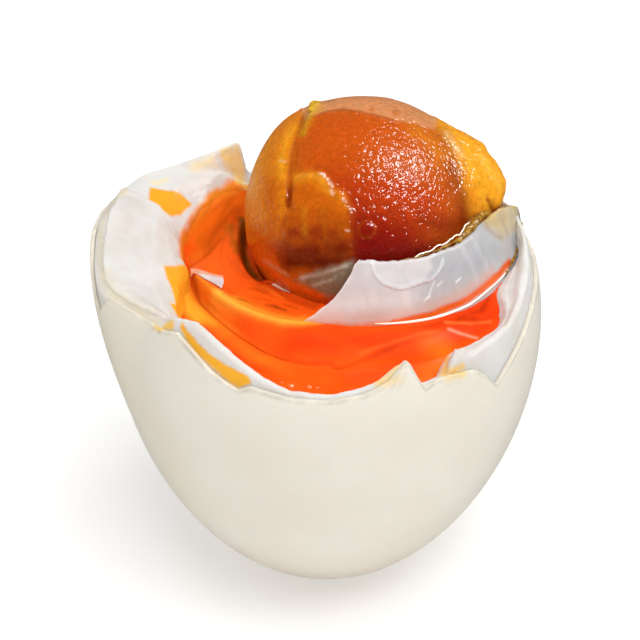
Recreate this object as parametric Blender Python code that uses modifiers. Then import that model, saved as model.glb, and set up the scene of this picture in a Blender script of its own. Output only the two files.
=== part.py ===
"""An opened salted duck egg, standing on the flattened tip of its pointed end.

The shell is broken off round the top. Inside it stands a thick cup of cooked white with a torn rim,
and in the cup a ball of yolk, half lifted out, with a collar of white along its front right side and
orange oil in the hollow round it. Heights are measured from the flat spot that the egg stands on,
and azimuths in degrees from +X, so -90 is the front. Lengths in the tables are millimetres.
"""
import math

import bmesh
import bpy
from mathutils import Vector

MM = 0.001
GAP = 0.3

EGG_LENGTH = 56.1
EGG_WIDTH = 44.5
EGG_BLUNTNESS = 0.125
TIP_CUT = 0.94
SHELL_THICKNESS = 0.45
WHITE_INSET = SHELL_THICKNESS + GAP

BULGE_AZIMUTH = 170.0
BULGE_REACH = 44.0
BULGE_START = 21.0
BULGE_HEIGHT = 17.0
BULGE_SIZE = 3.0
BULGE_CURVE = 1.6

YOLK_CENTRE = Vector((4.0, 6.0, 38.9))
YOLK_RADIUS = 12.55
BASIN_FLOOR = 32.4
BASIN_SLOPE = 1.0
LIP_STEP = 0.4
LIP_ROUNDING = 0.15
LEDGE_BELOW_EDGE = 0.3
HOLLOW_BELOW_LEDGE = 0.2

FRONT_LEVEL = 34.2
INNER_LEVEL = 35.4
RIDGE_LEVEL = 36.0
RIDGE_WIDTH = 1.6
OIL_STEP = 1.0
OIL_CLEARANCE = 1.2 * GAP
FRONT_START = -175.0
FRONT_END = 5.0
FRONT_BLEND = 20.0

COLLAR_FOOT_HEIGHT = 36.4
COLLAR_TOP_HEIGHT = 41.8
COLLAR_THICKNESS = 0.7

COLUMNS = 90
SHELL_RINGS = 9
SHELL_RING_CURVE = 1.25
WHITE_RINGS = (0.0, 0.02, 0.07, 0.15, 0.26, 0.39, 0.53, 0.68, 0.82, 0.93, 1.0)
SPACE_RINGS = 24
YOLK_COLUMNS = 44
YOLK_RINGS = 26
COLLAR_COLUMNS = 24
COLLAR_RINGS = 6
SHARP_ANGLE = math.radians(50.0)

# Height of the broken edge of the shell, round the egg
SHELL_EDGE = (
    (-180, 38.8), (-175, 37.6), (-170, 36.4), (-165, 35.0), (-160, 38.2), (-150, 37.7), (-140, 38.1),
    (-135, 38.8), (-130, 38.0), (-120, 36.2), (-114, 35.4), (-110, 36.0), (-100, 35.5), (-90, 35.4),
    (-80, 35.9), (-74, 36.9), (-68, 38.7), (-64, 35.3), (-60, 35.9), (-48, 35.2), (-44, 33.8),
    (-40, 31.8), (-35, 32.9), (-25, 34.6), (-15, 35.9), (0, 36.7), (30, 36.0), (60, 35.4), (90, 36.2),
    (120, 38.2), (145, 38.0), (165, 39.2), (175, 39.4),
)
# Height of the torn rim of the white
WHITE_EDGE = (
    (-180, 39.4), (-170, 38.4), (-160, 38.0), (-150, 37.9), (-145, 38.2), (-140, 38.9), (-135, 39.8),
    (-130, 40.2), (-125, 39.7), (-120, 38.9), (-110, 37.2), (-100, 35.8), (-90, 35.5), (-80, 36.1),
    (-74, 37.1), (-68, 38.3), (-64, 35.2), (-56, 35.6), (-52, 37.6), (-48, 36.6), (-30, 36.6),
    (-15, 38.0), (0, 39.0), (15, 39.9), (25, 39.0), (40, 36.8), (60, 36.0), (90, 36.4), (110, 37.4),
    (115, 39.4), (120, 40.4), (140, 40.5), (150, 39.9), (165, 40.3),
)
# Thickness of the rim at its top
WHITE_LIP = (
    (-180, 1.6), (-150, 1.2), (-120, 0.9), (-60, 0.9), (-45, 1.4), (0, 0.8), (30, 0.9), (60, 0.8),
    (100, 1.0), (120, 1.6),
)
# Height of the ledge just inside the rim
LEDGE_HEIGHT = (
    (-180, 38.2), (-165, 37.2), (-150, 36.6), (-135, 36.0), (-120, 35.4), (-100, 34.9), (-60, 34.9),
    (-50, 36.2), (-30, 36.0), (0, 37.4), (15, 38.0), (30, 37.2), (60, 35.6), (95, 36.0), (120, 38.6),
    (140, 38.9), (165, 39.0),
)
# Radius and height of the inner edge of the ledge, where the hollow begins
HOLLOW_RADIUS = (
    (-180, 15.0), (-165, 15.8), (-150, 17.4), (-135, 18.8), (-120, 19.8), (-100, 20.4), (-60, 20.4),
    (-56, 20.4), (-52, 18.9), (-30, 19.2), (-10, 19.3), (0, 19.8), (15, 20.0), (45, 20.2), (60, 20.2),
    (75, 19.8), (90, 18.9), (105, 18.2), (120, 17.6), (150, 17.0), (165, 16.2),
)
HOLLOW_HEIGHT = (
    (-180, 36.5), (-150, 35.9), (-120, 34.9), (-60, 34.8), (-50, 35.6), (-30, 35.4), (0, 36.2),
    (30, 36.2), (60, 35.0), (95, 35.6), (120, 37.2), (150, 36.9),
)
# Distance from the yolk's axis of the ridge and of the crease in the oil, round the yolk
RIDGE_RADIUS = (
    (-180, 18.0), (-150, 17.9), (-133, 17.7), (-121, 17.4), (-112, 16.4), (-95, 15.9), (0, 15.6),
)
CREASE_RADIUS = ((-180, 19.2), (-150, 19.0), (-137, 19.0), (-125, 19.8), (-113, 20.6), (0, 20.6))
# The collar, from its left tip to its right end: azimuths round the yolk and radii of foot and top
COLLAR_FOOT = ((0.0, -113.0, 15.7), (0.5, -62.0, 15.7), (0.8, -30.0, 15.4), (1.0, -12.0, 14.9))
COLLAR_TOP = ((0.0, -95.0, 13.35), (0.5, -58.0, 13.35), (0.8, -30.0, 13.4), (1.0, -12.0, 14.0))
COLLAR_TOP_SAG = 0.5
COLLAR_TEAR_CURVE = 1.3
# Swellings of the yolk: direction from its centre, height and reach in degrees
YOLK_SWELLINGS = (
    (Vector((0.95, 0.10, 0.27)), 2.5, 42.0),
    (Vector((-0.62, 0.35, 0.70)), 0.5, 36.0),
    (Vector((-0.75, -0.60, 0.10)), 0.4, 40.0),
)
SWELLING_RISE = 0.2
CREASE_TOP = Vector((-0.53, -0.20, 0.82))
CREASE_BOTTOM = Vector((-0.56, -0.75, 0.24))
CREASE_DEPTH = 0.9
CREASE_REACH = 8.0


def clear_scene():
    """Remove every object of the scene."""
    for item in list(bpy.data.objects):
        bpy.data.objects.remove(item, do_unlink=True)


def new_collection(name):
    """A collection of that name, linked to the scene."""
    collection = bpy.data.collections.new(name)
    bpy.context.scene.collection.children.link(collection)
    return collection


def new_material(name, colour, roughness, metallic=0.0):
    """A Principled material of one plain colour."""
    material = bpy.data.materials.new(name)
    material.use_nodes = True
    shader = material.node_tree.nodes["Principled BSDF"]
    shader.inputs["Base Color"].default_value = (*colour, 1.0)
    shader.inputs["Roughness"].default_value = roughness
    shader.inputs["Metallic"].default_value = metallic
    return material


def smooth_step(share):
    """Ease from 0 to 1 as share goes from 0 to 1."""
    share = min(max(share, 0.0), 1.0)
    return share * share * (3.0 - 2.0 * share)


def between(rows, place, column=1):
    """Read a column of a table between its rows, by the value in the first column."""
    for low, high in zip(rows, rows[1:]):
        if place <= high[0]:
            share = (place - low[0]) / (high[0] - low[0])
            return low[column] + (high[column] - low[column]) * max(share, 0.0)
    return rows[-1][column]


def around(rows, azimuth):
    """Read a table of azimuths and values that closes round the egg."""
    azimuth = (azimuth + 180.0) % 360.0 - 180.0
    return between((*rows, (rows[0][0] + 360.0, rows[0][1])), azimuth)


def polar(centre, azimuth, radius, height):
    """The point at an azimuth and radius about an upright axis."""
    angle = math.radians(azimuth)
    return Vector((centre.x + radius * math.cos(angle), centre.y + radius * math.sin(angle), height))


def egg_radius(height, inset=0.0):
    """Radius of the egg, or of the smaller egg that lies inset within it."""
    half_length = EGG_LENGTH / 2.0 - inset
    station = (height + TIP_CUT - EGG_LENGTH / 2.0) / half_length
    station = min(max(station, -1.0), 1.0)
    half_width = EGG_WIDTH / 2.0 - inset
    return half_width * math.sqrt(1.0 - station * station) * (1.0 + EGG_BLUNTNESS * station)


def bulge(azimuth, height):
    """How far the cracked left side leans out past the egg's round form."""
    offset = abs((azimuth - BULGE_AZIMUTH + 180.0) % 360.0 - 180.0)
    side = smooth_step(2.0 * (1.0 - offset / BULGE_REACH))
    rise = max(height - BULGE_START, 0.0) / BULGE_HEIGHT
    return BULGE_SIZE * side * rise ** BULGE_CURVE


def wall_radius(azimuth, height, inset):
    """Radius of the shell's or the white's outer face, with the bulge."""
    return egg_radius(height, inset) + bulge(azimuth, height)


def hollow_wall(azimuth, height):
    """Radius of the white's inner wall at a height in the hollow."""
    rim = around(HOLLOW_HEIGHT, azimuth)
    share = (rim - height) / (rim - BASIN_FLOOR)
    return around(HOLLOW_RADIUS, azimuth) - BASIN_SLOPE * share


def oil_level(point):
    """Height of the oil: a low front pool, a rounded ridge, and a level inside the ridge."""
    offset = point - YOLK_CENTRE
    azimuth = math.degrees(math.atan2(offset.y, offset.x))
    radius = math.hypot(offset.x, offset.y)
    ridge = around(RIDGE_RADIUS, azimuth)
    crease = around(CREASE_RADIUS, azimuth)
    front = smooth_step((azimuth - FRONT_START) / FRONT_BLEND) * smooth_step((FRONT_END - azimuth) / FRONT_BLEND)
    outer = INNER_LEVEL + (FRONT_LEVEL - INNER_LEVEL) * front
    crest = INNER_LEVEL + (RIDGE_LEVEL - INNER_LEVEL) * front
    if radius > ridge:
        return crest + (outer - crest) * smooth_step((radius - ridge) / (crease - ridge))
    return crest + (INNER_LEVEL - crest) * smooth_step((ridge - radius) / RIDGE_WIDTH)


def shell_section(azimuth):
    """The shell's outer face from the middle of the flat spot to its edge, and a point above it."""
    centre = Vector((0.0, 0.0, 0.0))
    edge = around(SHELL_EDGE, azimuth)
    points = [centre, polar(centre, azimuth, egg_radius(0.0), 0.0)]
    for ring in range(1, SHELL_RINGS + 1):
        height = edge * (ring / SHELL_RINGS) ** SHELL_RING_CURVE
        points.append(polar(centre, azimuth, wall_radius(azimuth, height, 0.0), height))
    return [*points, Vector((0.0, 0.0, EGG_LENGTH))]


def white_section(azimuth):
    """The white's outer face, rim, ledge and hollow, from its bottom to the hollow's floor."""
    axis = Vector((0.0, 0.0, 0.0))
    edge = around(WHITE_EDGE, azimuth)
    lip = around(WHITE_LIP, azimuth)
    ledge = min(around(LEDGE_HEIGHT, azimuth), edge - LEDGE_BELOW_EDGE)
    rise = edge - WHITE_INSET
    points = [Vector((0.0, 0.0, WHITE_INSET))]
    for share in WHITE_RINGS:
        height = WHITE_INSET + rise * share
        points.append(polar(axis, azimuth, wall_radius(azimuth, height, WHITE_INSET), height))
    rim = wall_radius(azimuth, edge, WHITE_INSET)
    inner = around(HOLLOW_RADIUS, azimuth)
    inner_height = min(around(HOLLOW_HEIGHT, azimuth), ledge - HOLLOW_BELOW_LEDGE)
    ledge_radius = rim - lip - LIP_STEP
    points.append(polar(axis, azimuth, rim - lip, edge - LIP_ROUNDING))
    points.append(polar(axis, azimuth, ledge_radius, ledge))
    middle = (ledge_radius + inner) / 2.0
    points.append(polar(axis, azimuth, middle, (ledge + inner_height) / 2.0))
    points.append(polar(axis, azimuth, inner, inner_height))
    points.append(polar(axis, azimuth, hollow_wall(azimuth, BASIN_FLOOR), BASIN_FLOOR))
    points.append(Vector((YOLK_CENTRE.x, YOLK_CENTRE.y, BASIN_FLOOR)))
    return points


def oil_section(azimuth):
    """The oil from the middle of its underside, round its edge, to the middle of its top."""
    axis = Vector((0.0, 0.0, 0.0))
    bottom = BASIN_FLOOR + GAP
    middle = Vector((YOLK_CENTRE.x, YOLK_CENTRE.y, bottom))
    low = polar(axis, azimuth, hollow_wall(azimuth, bottom) - OIL_CLEARANCE, bottom)
    level = oil_level(polar(axis, azimuth, around(HOLLOW_RADIUS, azimuth), 0.0))
    rim = polar(axis, azimuth, hollow_wall(azimuth, level) - OIL_CLEARANCE, level)
    offset = rim - YOLK_CENTRE
    yolk_azimuth = math.degrees(math.atan2(offset.y, offset.x))
    reach = math.hypot(offset.x, offset.y)
    crease = min(around(CREASE_RADIUS, yolk_azimuth), reach - 0.5)
    ridge = min(around(RIDGE_RADIUS, yolk_azimuth), crease - OIL_STEP)
    radii = (crease, crease - OIL_STEP / 2.0, ridge, ridge - RIDGE_WIDTH, ridge - 2.0 * RIDGE_WIDTH, 0.0)
    points = [middle, low, rim]
    for radius in radii:
        point = polar(YOLK_CENTRE, yolk_azimuth, radius, 0.0)
        point.z = oil_level(point)
        points.append(point)
    return points


def body_of_sections(name, columns, section):
    """A closed body from a sphere, each column of whose points takes its places from a section."""
    rings = len(section(0.0)) - 1
    form = bmesh.new()
    bmesh.ops.create_uvsphere(form, u_segments=columns, v_segments=rings, radius=1.0)
    sections = {}
    for vertex in form.verts:
        azimuth = round(math.degrees(math.atan2(vertex.co.y, vertex.co.x)), 3)
        ring = round(rings * math.acos(max(-1.0, min(1.0, -vertex.co.z))) / math.pi)
        points = sections.setdefault(azimuth, section(azimuth))
        vertex.co = points[ring] * MM
    mesh = bpy.data.meshes.new(name)
    form.to_mesh(mesh)
    form.free()
    return mesh


def add_part(name, mesh, material, collection):
    """An object for the mesh, shaded smooth, with its own material."""
    mesh.materials.append(material)
    mesh.shade_smooth()
    mesh.set_sharp_from_angle(angle=SHARP_ANGLE)
    part = bpy.data.objects.new(name, mesh)
    collection.objects.link(part)
    return part


def add_cut(part, cutter):
    """Cut the part by the cutter."""
    cut = part.modifiers.new("Cut", "BOOLEAN")
    cut.operation = "DIFFERENCE"
    cut.object = cutter


def make_cutter(collection):
    """The space that the yolk needs in the white and the oil."""
    form = bmesh.new()
    bmesh.ops.create_uvsphere(form, u_segments=YOLK_COLUMNS, v_segments=SPACE_RINGS, radius=(YOLK_RADIUS + GAP) * MM)
    mesh = bpy.data.meshes.new("yolk_space")
    form.to_mesh(mesh)
    form.free()
    cutter = bpy.data.objects.new("yolk_space", mesh)
    cutter.location = YOLK_CENTRE * MM
    cutter.hide_render = True
    cutter.display_type = "WIRE"
    collection.objects.link(cutter)
    return cutter


def make_shell(collection):
    """The broken eggshell: an open cup with an even thickness inwards."""
    material = new_material("shell", (0.80, 0.74, 0.65), 0.5)
    mesh = body_of_sections("eggshell", COLUMNS, shell_section)
    form = bmesh.new()
    form.from_mesh(mesh)
    pole = max(form.verts, key=lambda vertex: vertex.co.z)
    bmesh.ops.delete(form, geom=[pole], context="VERTS")
    form.to_mesh(mesh)
    form.free()
    shell = add_part("eggshell", mesh, material, collection)
    wall = shell.modifiers.new("Thickness", "SOLIDIFY")
    wall.thickness = SHELL_THICKNESS * MM
    wall.offset = -1.0
    return shell


def make_white(collection, cutter):
    """The cup of cooked white, with the hollow that the yolk and the oil lie in."""
    material = new_material("white", (0.85, 0.82, 0.77), 0.3)
    white = add_part("egg_white", body_of_sections("egg_white", COLUMNS, white_section), material, collection)
    add_cut(white, cutter)
    return white


def make_oil(collection, cutter):
    """The orange oil that fills the hollow up to its level."""
    material = new_material("oil", (0.95, 0.13, 0.01), 0.15)
    oil = add_part("yolk_oil", body_of_sections("yolk_oil", COLUMNS, oil_section), material, collection)
    add_cut(oil, cutter)
    return oil


def yolk_relief(direction):
    """How far the yolk's surface stands out of the ball, or lies in it, in a direction."""
    relief = 0.0
    for middle, height, reach in YOLK_SWELLINGS:
        angle = math.degrees(direction.angle(middle))
        relief += height * smooth_step(1.0 - angle / reach)
    relief *= smooth_step(direction.z / SWELLING_RISE)
    along = CREASE_BOTTOM - CREASE_TOP
    share = min(max((direction - CREASE_TOP).dot(along) / along.length_squared, 0.0), 1.0)
    nearest = CREASE_TOP + along * share
    angle = math.degrees(direction.angle(nearest))
    return relief - CREASE_DEPTH * smooth_step(1.0 - angle / CREASE_REACH)


def make_yolk(collection):
    """The ball of yolk, with its lump on the right and the crease down its left side."""
    material = new_material("yolk", (0.68, 0.16, 0.01), 0.3)
    form = bmesh.new()
    bmesh.ops.create_uvsphere(form, u_segments=YOLK_COLUMNS, v_segments=YOLK_RINGS, radius=1.0)
    for vertex in form.verts:
        direction = vertex.co.normalized()
        vertex.co = direction * (YOLK_RADIUS + yolk_relief(direction)) * MM
    mesh = bpy.data.meshes.new("yolk")
    form.to_mesh(mesh)
    form.free()
    yolk = add_part("yolk", mesh, material, collection)
    yolk.location = YOLK_CENTRE * MM
    return yolk


def make_collar(collection):
    """The torn collar of white that stands along the front right side of the yolk."""
    material = new_material("collar", (0.62, 0.60, 0.60), 0.2)
    form = bmesh.new()
    bmesh.ops.create_grid(form, x_segments=COLLAR_COLUMNS, y_segments=COLLAR_RINGS, size=1.0)
    for vertex in form.verts:
        along = (vertex.co.x + 1.0) / 2.0
        up = (vertex.co.y + 1.0) / 2.0
        azimuth_foot, azimuth_top = between(COLLAR_FOOT, along, 1), between(COLLAR_TOP, along, 1)
        radius_foot, radius_top = between(COLLAR_FOOT, along, 2), between(COLLAR_TOP, along, 2)
        azimuth = azimuth_foot + (azimuth_top - azimuth_foot) * up ** COLLAR_TEAR_CURVE
        radius = radius_foot + (radius_top - radius_foot) * up
        top = COLLAR_TOP_HEIGHT - COLLAR_TOP_SAG * math.sin(math.pi * along)
        height = COLLAR_FOOT_HEIGHT + (top - COLLAR_FOOT_HEIGHT) * up
        vertex.co = polar(YOLK_CENTRE, azimuth, radius, height) * MM
    mesh = bpy.data.meshes.new("white_collar")
    form.to_mesh(mesh)
    form.free()
    collar = add_part("white_collar", mesh, material, collection)
    wall = collar.modifiers.new("Thickness", "SOLIDIFY")
    wall.thickness = COLLAR_THICKNESS * MM
    wall.offset = 0.0
    return collar


def main():
    """Build the egg."""
    clear_scene()
    parts = new_collection("Salted duck egg")
    cutters = new_collection("Cutters")
    space = make_cutter(cutters)
    make_shell(parts)
    make_white(parts, space)
    make_oil(parts, space)
    make_yolk(parts)
    make_collar(parts)


main()
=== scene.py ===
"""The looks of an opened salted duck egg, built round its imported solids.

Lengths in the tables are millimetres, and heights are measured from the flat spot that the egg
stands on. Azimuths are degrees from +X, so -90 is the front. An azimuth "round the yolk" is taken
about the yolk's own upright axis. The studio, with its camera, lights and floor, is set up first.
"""
from __future__ import annotations

import logging
import math
from dataclasses import dataclass
from enum import Enum
from typing import Any, ClassVar, Sequence

import bmesh
import bpy
import numpy as np
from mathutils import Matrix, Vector, noise

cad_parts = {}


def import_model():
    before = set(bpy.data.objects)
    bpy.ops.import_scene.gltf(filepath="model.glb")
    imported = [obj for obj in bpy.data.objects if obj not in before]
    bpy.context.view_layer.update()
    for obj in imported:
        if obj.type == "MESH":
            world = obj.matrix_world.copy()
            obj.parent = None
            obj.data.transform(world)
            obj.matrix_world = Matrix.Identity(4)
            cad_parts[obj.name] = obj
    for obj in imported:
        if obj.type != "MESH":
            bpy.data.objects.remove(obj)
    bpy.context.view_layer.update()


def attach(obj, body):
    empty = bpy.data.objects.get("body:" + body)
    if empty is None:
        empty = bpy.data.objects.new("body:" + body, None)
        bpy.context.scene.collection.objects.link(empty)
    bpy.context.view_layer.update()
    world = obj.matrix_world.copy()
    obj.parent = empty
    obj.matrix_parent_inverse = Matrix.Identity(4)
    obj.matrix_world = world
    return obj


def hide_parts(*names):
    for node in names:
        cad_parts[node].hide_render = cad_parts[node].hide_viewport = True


LOG = logging.getLogger("salted_egg")

MM = 0.001
BODY = "root"
TINT = "tint"
FLOW = "flow"
MERGE_DISTANCE = 1e-6
SHARP_ANGLE = math.radians(50.0)
FRONT_SLOPE = math.radians(35.0)
FRONT_AIM = np.array((0.0, -math.cos(FRONT_SLOPE), math.sin(FRONT_SLOPE)))
FRONT_UP = np.array((0.0, math.sin(FRONT_SLOPE), math.cos(FRONT_SLOPE)))
# How far round to the side a brush of the front view fades out, as a start and a width
FACING = (-0.5, 0.4)

Array = np.ndarray
Piece = bpy.types.Object
Rows = tuple[tuple[float, ...], ...]
Point = tuple[float, float, float]
Span = tuple[float, float]


class Node(Enum):
    """The CAD nodes that the pieces stand for."""

    SHELL = "eggshell"
    WHITE = "egg_white"
    OIL = "yolk_oil"
    YOLK = "yolk"
    COLLAR = "white_collar"


class Slot(Enum):
    """The record's material slots."""

    SHELL = "shell"
    WHITE = "white"
    OIL = "oil"
    YOLK = "yolk"
    COLLAR = "collar"


class Plane(Enum):
    """The view in which a brush stroke is laid on a piece, with its millimetres per unit across.

    PLAN is x and y. WALL is the azimuth round the egg and the height, and SHEET the azimuth round
    the yolk and the height, so their first number is degrees. FRONT is x and the height on a
    plane that leans back by 35 degrees. BALL is a direction from the yolk's centre.
    """

    PLAN = ("plan", 1.0)
    WALL = ("wall", 0.36)
    SHEET = ("sheet", 0.25)
    FRONT = ("front", 1.0)
    BALL = ("ball", 1.0)

    @property
    def across(self) -> float:
        """Millimetres for one unit of the first number."""
        return self.value[1]


# Small tools


def smooth_step(share: Array | float) -> Array:
    """Ease from 0 to 1 as share goes from 0 to 1."""
    share = np.clip(share, 0.0, 1.0)
    return share * share * (3.0 - 2.0 * share)


def ease(value: Array, start: Array | float, width: float) -> Array:
    """Ease from 0 at the start to 1 a width further on, or further back where the width is negative."""
    return smooth_step((value - start) / width)


def hump(distance: Array, width: float) -> Array:
    """A smooth hump: 1 along a line, fading with the distance from it over about that width."""
    return np.exp(-((distance / width) ** 2))


def steps(count: int) -> Array:
    """The shares of a run at the end of each of that many even steps."""
    return np.linspace(0.0, 1.0, count + 1)[1:]


def unit(aim: Sequence[float]) -> Array:
    """A direction as a vector one long."""
    return np.array(aim) / np.linalg.norm(aim)


def degrees_apart(azimuth: Array, other: float) -> Array:
    """How many degrees lie between each azimuth and another one, the short way round."""
    return np.abs((azimuth - other + 180.0) % 360.0 - 180.0)


def linear(hex_colour: str) -> tuple[float, float, float, float]:
    """Turn an sRGB hex colour such as "E6DFD2" to linear red, green, blue and alpha."""
    values = [int(hex_colour[place:place + 2], 16) / 255.0 for place in (0, 2, 4)]
    turned = [v / 12.92 if v <= 0.04045 else ((v + 0.055) / 1.055) ** 2.4 for v in values]
    return (*turned, 1.0)


def between(rows: Rows, place: Array, column: int = 1) -> Array:
    """Read a column of a table between its rows, by the value in the first column."""
    return np.interp(place, [row[0] for row in rows], [row[column] for row in rows])


def around(rows: Rows, azimuth: Array, soften: float = 0.0) -> Array:
    """Read a table of azimuths and values that closes round the egg.

    Args:
        rows: Pairs of azimuth and value.
        azimuth: Where to read it, in degrees.
        soften: Width in degrees over which the values are averaged.

    Returns:
        The value at each azimuth.
    """
    closed = (*rows, (rows[0][0] + 360.0, rows[0][1]))
    steps = np.linspace(-0.5, 0.5, 9) * soften if soften else np.zeros(1)
    reads = [between(closed, (azimuth + step + 180.0) % 360.0 - 180.0) for step in steps]
    return np.mean(reads, axis=0)


@dataclass(frozen=True)
class Bumps:
    """A field of fractal bumps.

    The size is that of the largest bumps and the height how far they stand out, both in
    millimetres. The seed moves the field, so that fields differ, and the octaves are how many
    times it is refined.
    """

    size: float
    height: float
    seed: float
    octaves: int = 3

    def at(self, points: Array) -> Array:
        """How far the bumps stand out at each point, given in millimetres, one a row."""
        moved = points / self.size + self.seed
        return np.array([noise.fractal(Vector(row), 1.0, 2.0, self.octaves) for row in moved]) * self.height


def deselect() -> None:
    """Leave edit mode and select nothing."""
    if bpy.context.object and bpy.context.object.mode != "OBJECT":
        bpy.ops.object.mode_set(mode="OBJECT")
    bpy.ops.object.select_all(action="DESELECT")


def choose(piece: Piece) -> None:
    """Select the piece alone and make it the active one."""
    deselect()
    piece.select_set(True)
    bpy.context.view_layer.objects.active = piece


def vertex_rows(piece: Piece, key: str) -> Array:
    """A property of the piece's vertices that holds three numbers, one vertex a row."""
    flat = np.zeros(len(piece.data.vertices) * 3, np.float32)
    piece.data.vertices.foreach_get(key, flat)
    return flat.reshape(-1, 3).astype(float)


def positions(piece: Piece) -> Array:
    """The piece's vertices in millimetres, one a row."""
    return vertex_rows(piece, "co") / MM


def normals(piece: Piece) -> Array:
    """The piece's vertex normals, one a row."""
    return vertex_rows(piece, "normal")


def settle(piece: Piece, places: Array) -> None:
    """Move the piece's vertices to places given in millimetres."""
    piece.data.vertices.foreach_set("co", (places * MM).astype(np.float32).ravel())
    piece.data.update()


def roughen(piece: Piece, bumps: Bumps) -> None:
    """Move the piece's vertices along their normals by the bumps."""
    places = positions(piece)
    settle(piece, places + normals(piece) * bumps.at(places)[:, None])


def apply_modifier(piece: Piece, kind: str, **settings: Any) -> None:
    """Add a modifier with its settings and apply it at once."""
    choose(piece)
    modifier = piece.modifiers.new(kind.title(), kind)
    for key, value in settings.items():
        setattr(modifier, key, value)
    bpy.ops.object.modifier_apply(modifier=modifier.name)


def smooth_shade(piece: Piece, angle: float = SHARP_ANGLE) -> None:
    """Shade the piece smooth, apart from edges sharper than the angle."""
    choose(piece)
    bpy.ops.object.shade_smooth_by_angle(angle=angle)


def name_piece(piece: Piece, name: str) -> Piece:
    """Name the object and its mesh, and bring its place into its mesh."""
    piece.name = name
    piece.data.name = name
    choose(piece)
    bpy.ops.object.transform_apply(location=True, rotation=True, scale=True)
    return piece


def add_ball(subdivisions: int, radius: float) -> Piece:
    """Add an even ball at the origin, its radius in millimetres."""
    deselect()
    bpy.ops.mesh.primitive_ico_sphere_add(subdivisions=subdivisions, radius=radius * MM)
    return bpy.context.object


def add_grid(columns: int, rows: int) -> tuple[Piece, Array, Array]:
    """Add a flat grid, and say how far along and across it each vertex lies, from 0 to 1."""
    deselect()
    bpy.ops.mesh.primitive_grid_add(x_subdivisions=columns, y_subdivisions=rows, size=2.0)
    piece = bpy.context.object
    places = vertex_rows(piece, "co")
    return piece, (places[:, 0] + 1.0) / 2.0, (places[:, 1] + 1.0) / 2.0


def raise_rings(name: str, places: Array) -> Piece:
    """Extrude a circle of points ring by ring and settle each ring on its places.

    Args:
        name: The piece's name.
        places: Rings by columns by three, in millimetres. A ring whose points all meet closes
            a pole, and a last ring that lies on the first one closes the body.

    Returns:
        The piece, with its faces pointing out.
    """
    rings, columns, _ = places.shape
    deselect()
    bpy.ops.mesh.primitive_circle_add(vertices=columns, radius=MM, fill_type="NOTHING")
    piece = bpy.context.object
    bpy.ops.object.mode_set(mode="EDIT")
    bpy.ops.mesh.select_all(action="SELECT")
    form = bmesh.from_edit_mesh(piece.data)
    column_layer = form.verts.layers.int.new("column")
    form.verts.layers.int.new("ring")
    for column, vertex in enumerate(form.verts):
        vertex[column_layer] = column
    bmesh.update_edit_mesh(piece.data)
    for ring in range(1, rings):
        bpy.ops.mesh.extrude_edges_move()
        form = bmesh.from_edit_mesh(piece.data)
        ring_layer = form.verts.layers.int["ring"]
        for vertex in form.verts:
            if vertex.select:
                vertex[ring_layer] = ring
    form = bmesh.from_edit_mesh(piece.data)
    column_layer, ring_layer = form.verts.layers.int["column"], form.verts.layers.int["ring"]
    for vertex in form.verts:
        vertex.co = Vector(places[vertex[ring_layer], vertex[column_layer]] * MM)
    bmesh.update_edit_mesh(piece.data)
    bpy.ops.mesh.select_all(action="SELECT")
    bpy.ops.mesh.remove_doubles(threshold=MERGE_DISTANCE)
    bpy.ops.mesh.select_all(action="SELECT")
    bpy.ops.mesh.normals_make_consistent(inside=False)
    bpy.ops.object.mode_set(mode="OBJECT")
    for layer in ("column", "ring"):
        piece.data.attributes.remove(piece.data.attributes[layer])
    return name_piece(piece, name)


def bend_tube(name: str, path: Array, radii: Array, sides: int = 8) -> Piece:
    """Extrude a round section along a path, with closed, slightly pointed ends.

    Args:
        name: The piece's name.
        path: Points in millimetres, one a row.
        radii: The tube's radius at each point.
        sides: How many sides it has.

    Returns:
        The tube.
    """
    along = np.gradient(path, axis=0)
    along /= np.linalg.norm(along, axis=1)[:, None]
    side = np.cross(along, np.array([0.0, 0.0, 1.0]))
    side /= np.linalg.norm(side, axis=1)[:, None] + 1e-9
    upward = np.cross(side, along)
    turn = np.linspace(0.0, 2.0 * math.pi, sides, endpoint=False)[None, :, None]
    section = side[:, None, :] * np.cos(turn) + upward[:, None, :] * np.sin(turn)
    rings = path[:, None, :] + section * radii[:, None, None]
    tips = (path[0] - along[0] * radii[0] * 0.5, path[-1] + along[-1] * radii[-1] * 0.5)
    first, last = (np.repeat(tip[None, None, :], sides, axis=1) for tip in tips)
    return raise_rings(name, np.concatenate([first, rings, last]))


# Brushes: soft strokes of colour that are laid on a piece's vertices


@dataclass(frozen=True)
class Patch:
    """A filled patch of colour with a soft, slightly ragged edge, on the piece's plane if it names none."""

    colour: str
    outline: Rows
    feather: float = 0.25
    strength: float = 1.0
    ragged: float = 0.15
    plane: Plane | None = None


@dataclass(frozen=True)
class Stroke:
    """A stroke of colour along a path, with a soft edge, on the piece's plane if it names none."""

    colour: str
    path: Rows
    width: float
    feather: float = 0.5
    strength: float = 1.0
    ragged: float = 0.15
    plane: Plane | None = None


def to_plane(points: Array, plane: Plane) -> Array:
    """Turn places on the egg to the two coordinates, or three on the ball, that a brush uses."""
    if plane is Plane.PLAN:
        return points[:, :2]
    if plane is Plane.FRONT:
        return np.stack([points[:, 0], points @ FRONT_UP], axis=1)
    middle = np.zeros(3) if plane is Plane.WALL else np.array(Yolk.centre)
    away = points - middle
    if plane is Plane.BALL:
        return away / np.linalg.norm(away, axis=1)[:, None]
    return np.stack([np.degrees(np.arctan2(away[:, 1], away[:, 0])) * plane.across, points[:, 2]], axis=1)


def in_plane(path: Sequence[Sequence[float]], plane: Plane) -> Array:
    """A brush's corners in the plane's own millimetres."""
    corners = np.array(path, float)
    corners[:, 0] *= plane.across
    return corners


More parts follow.
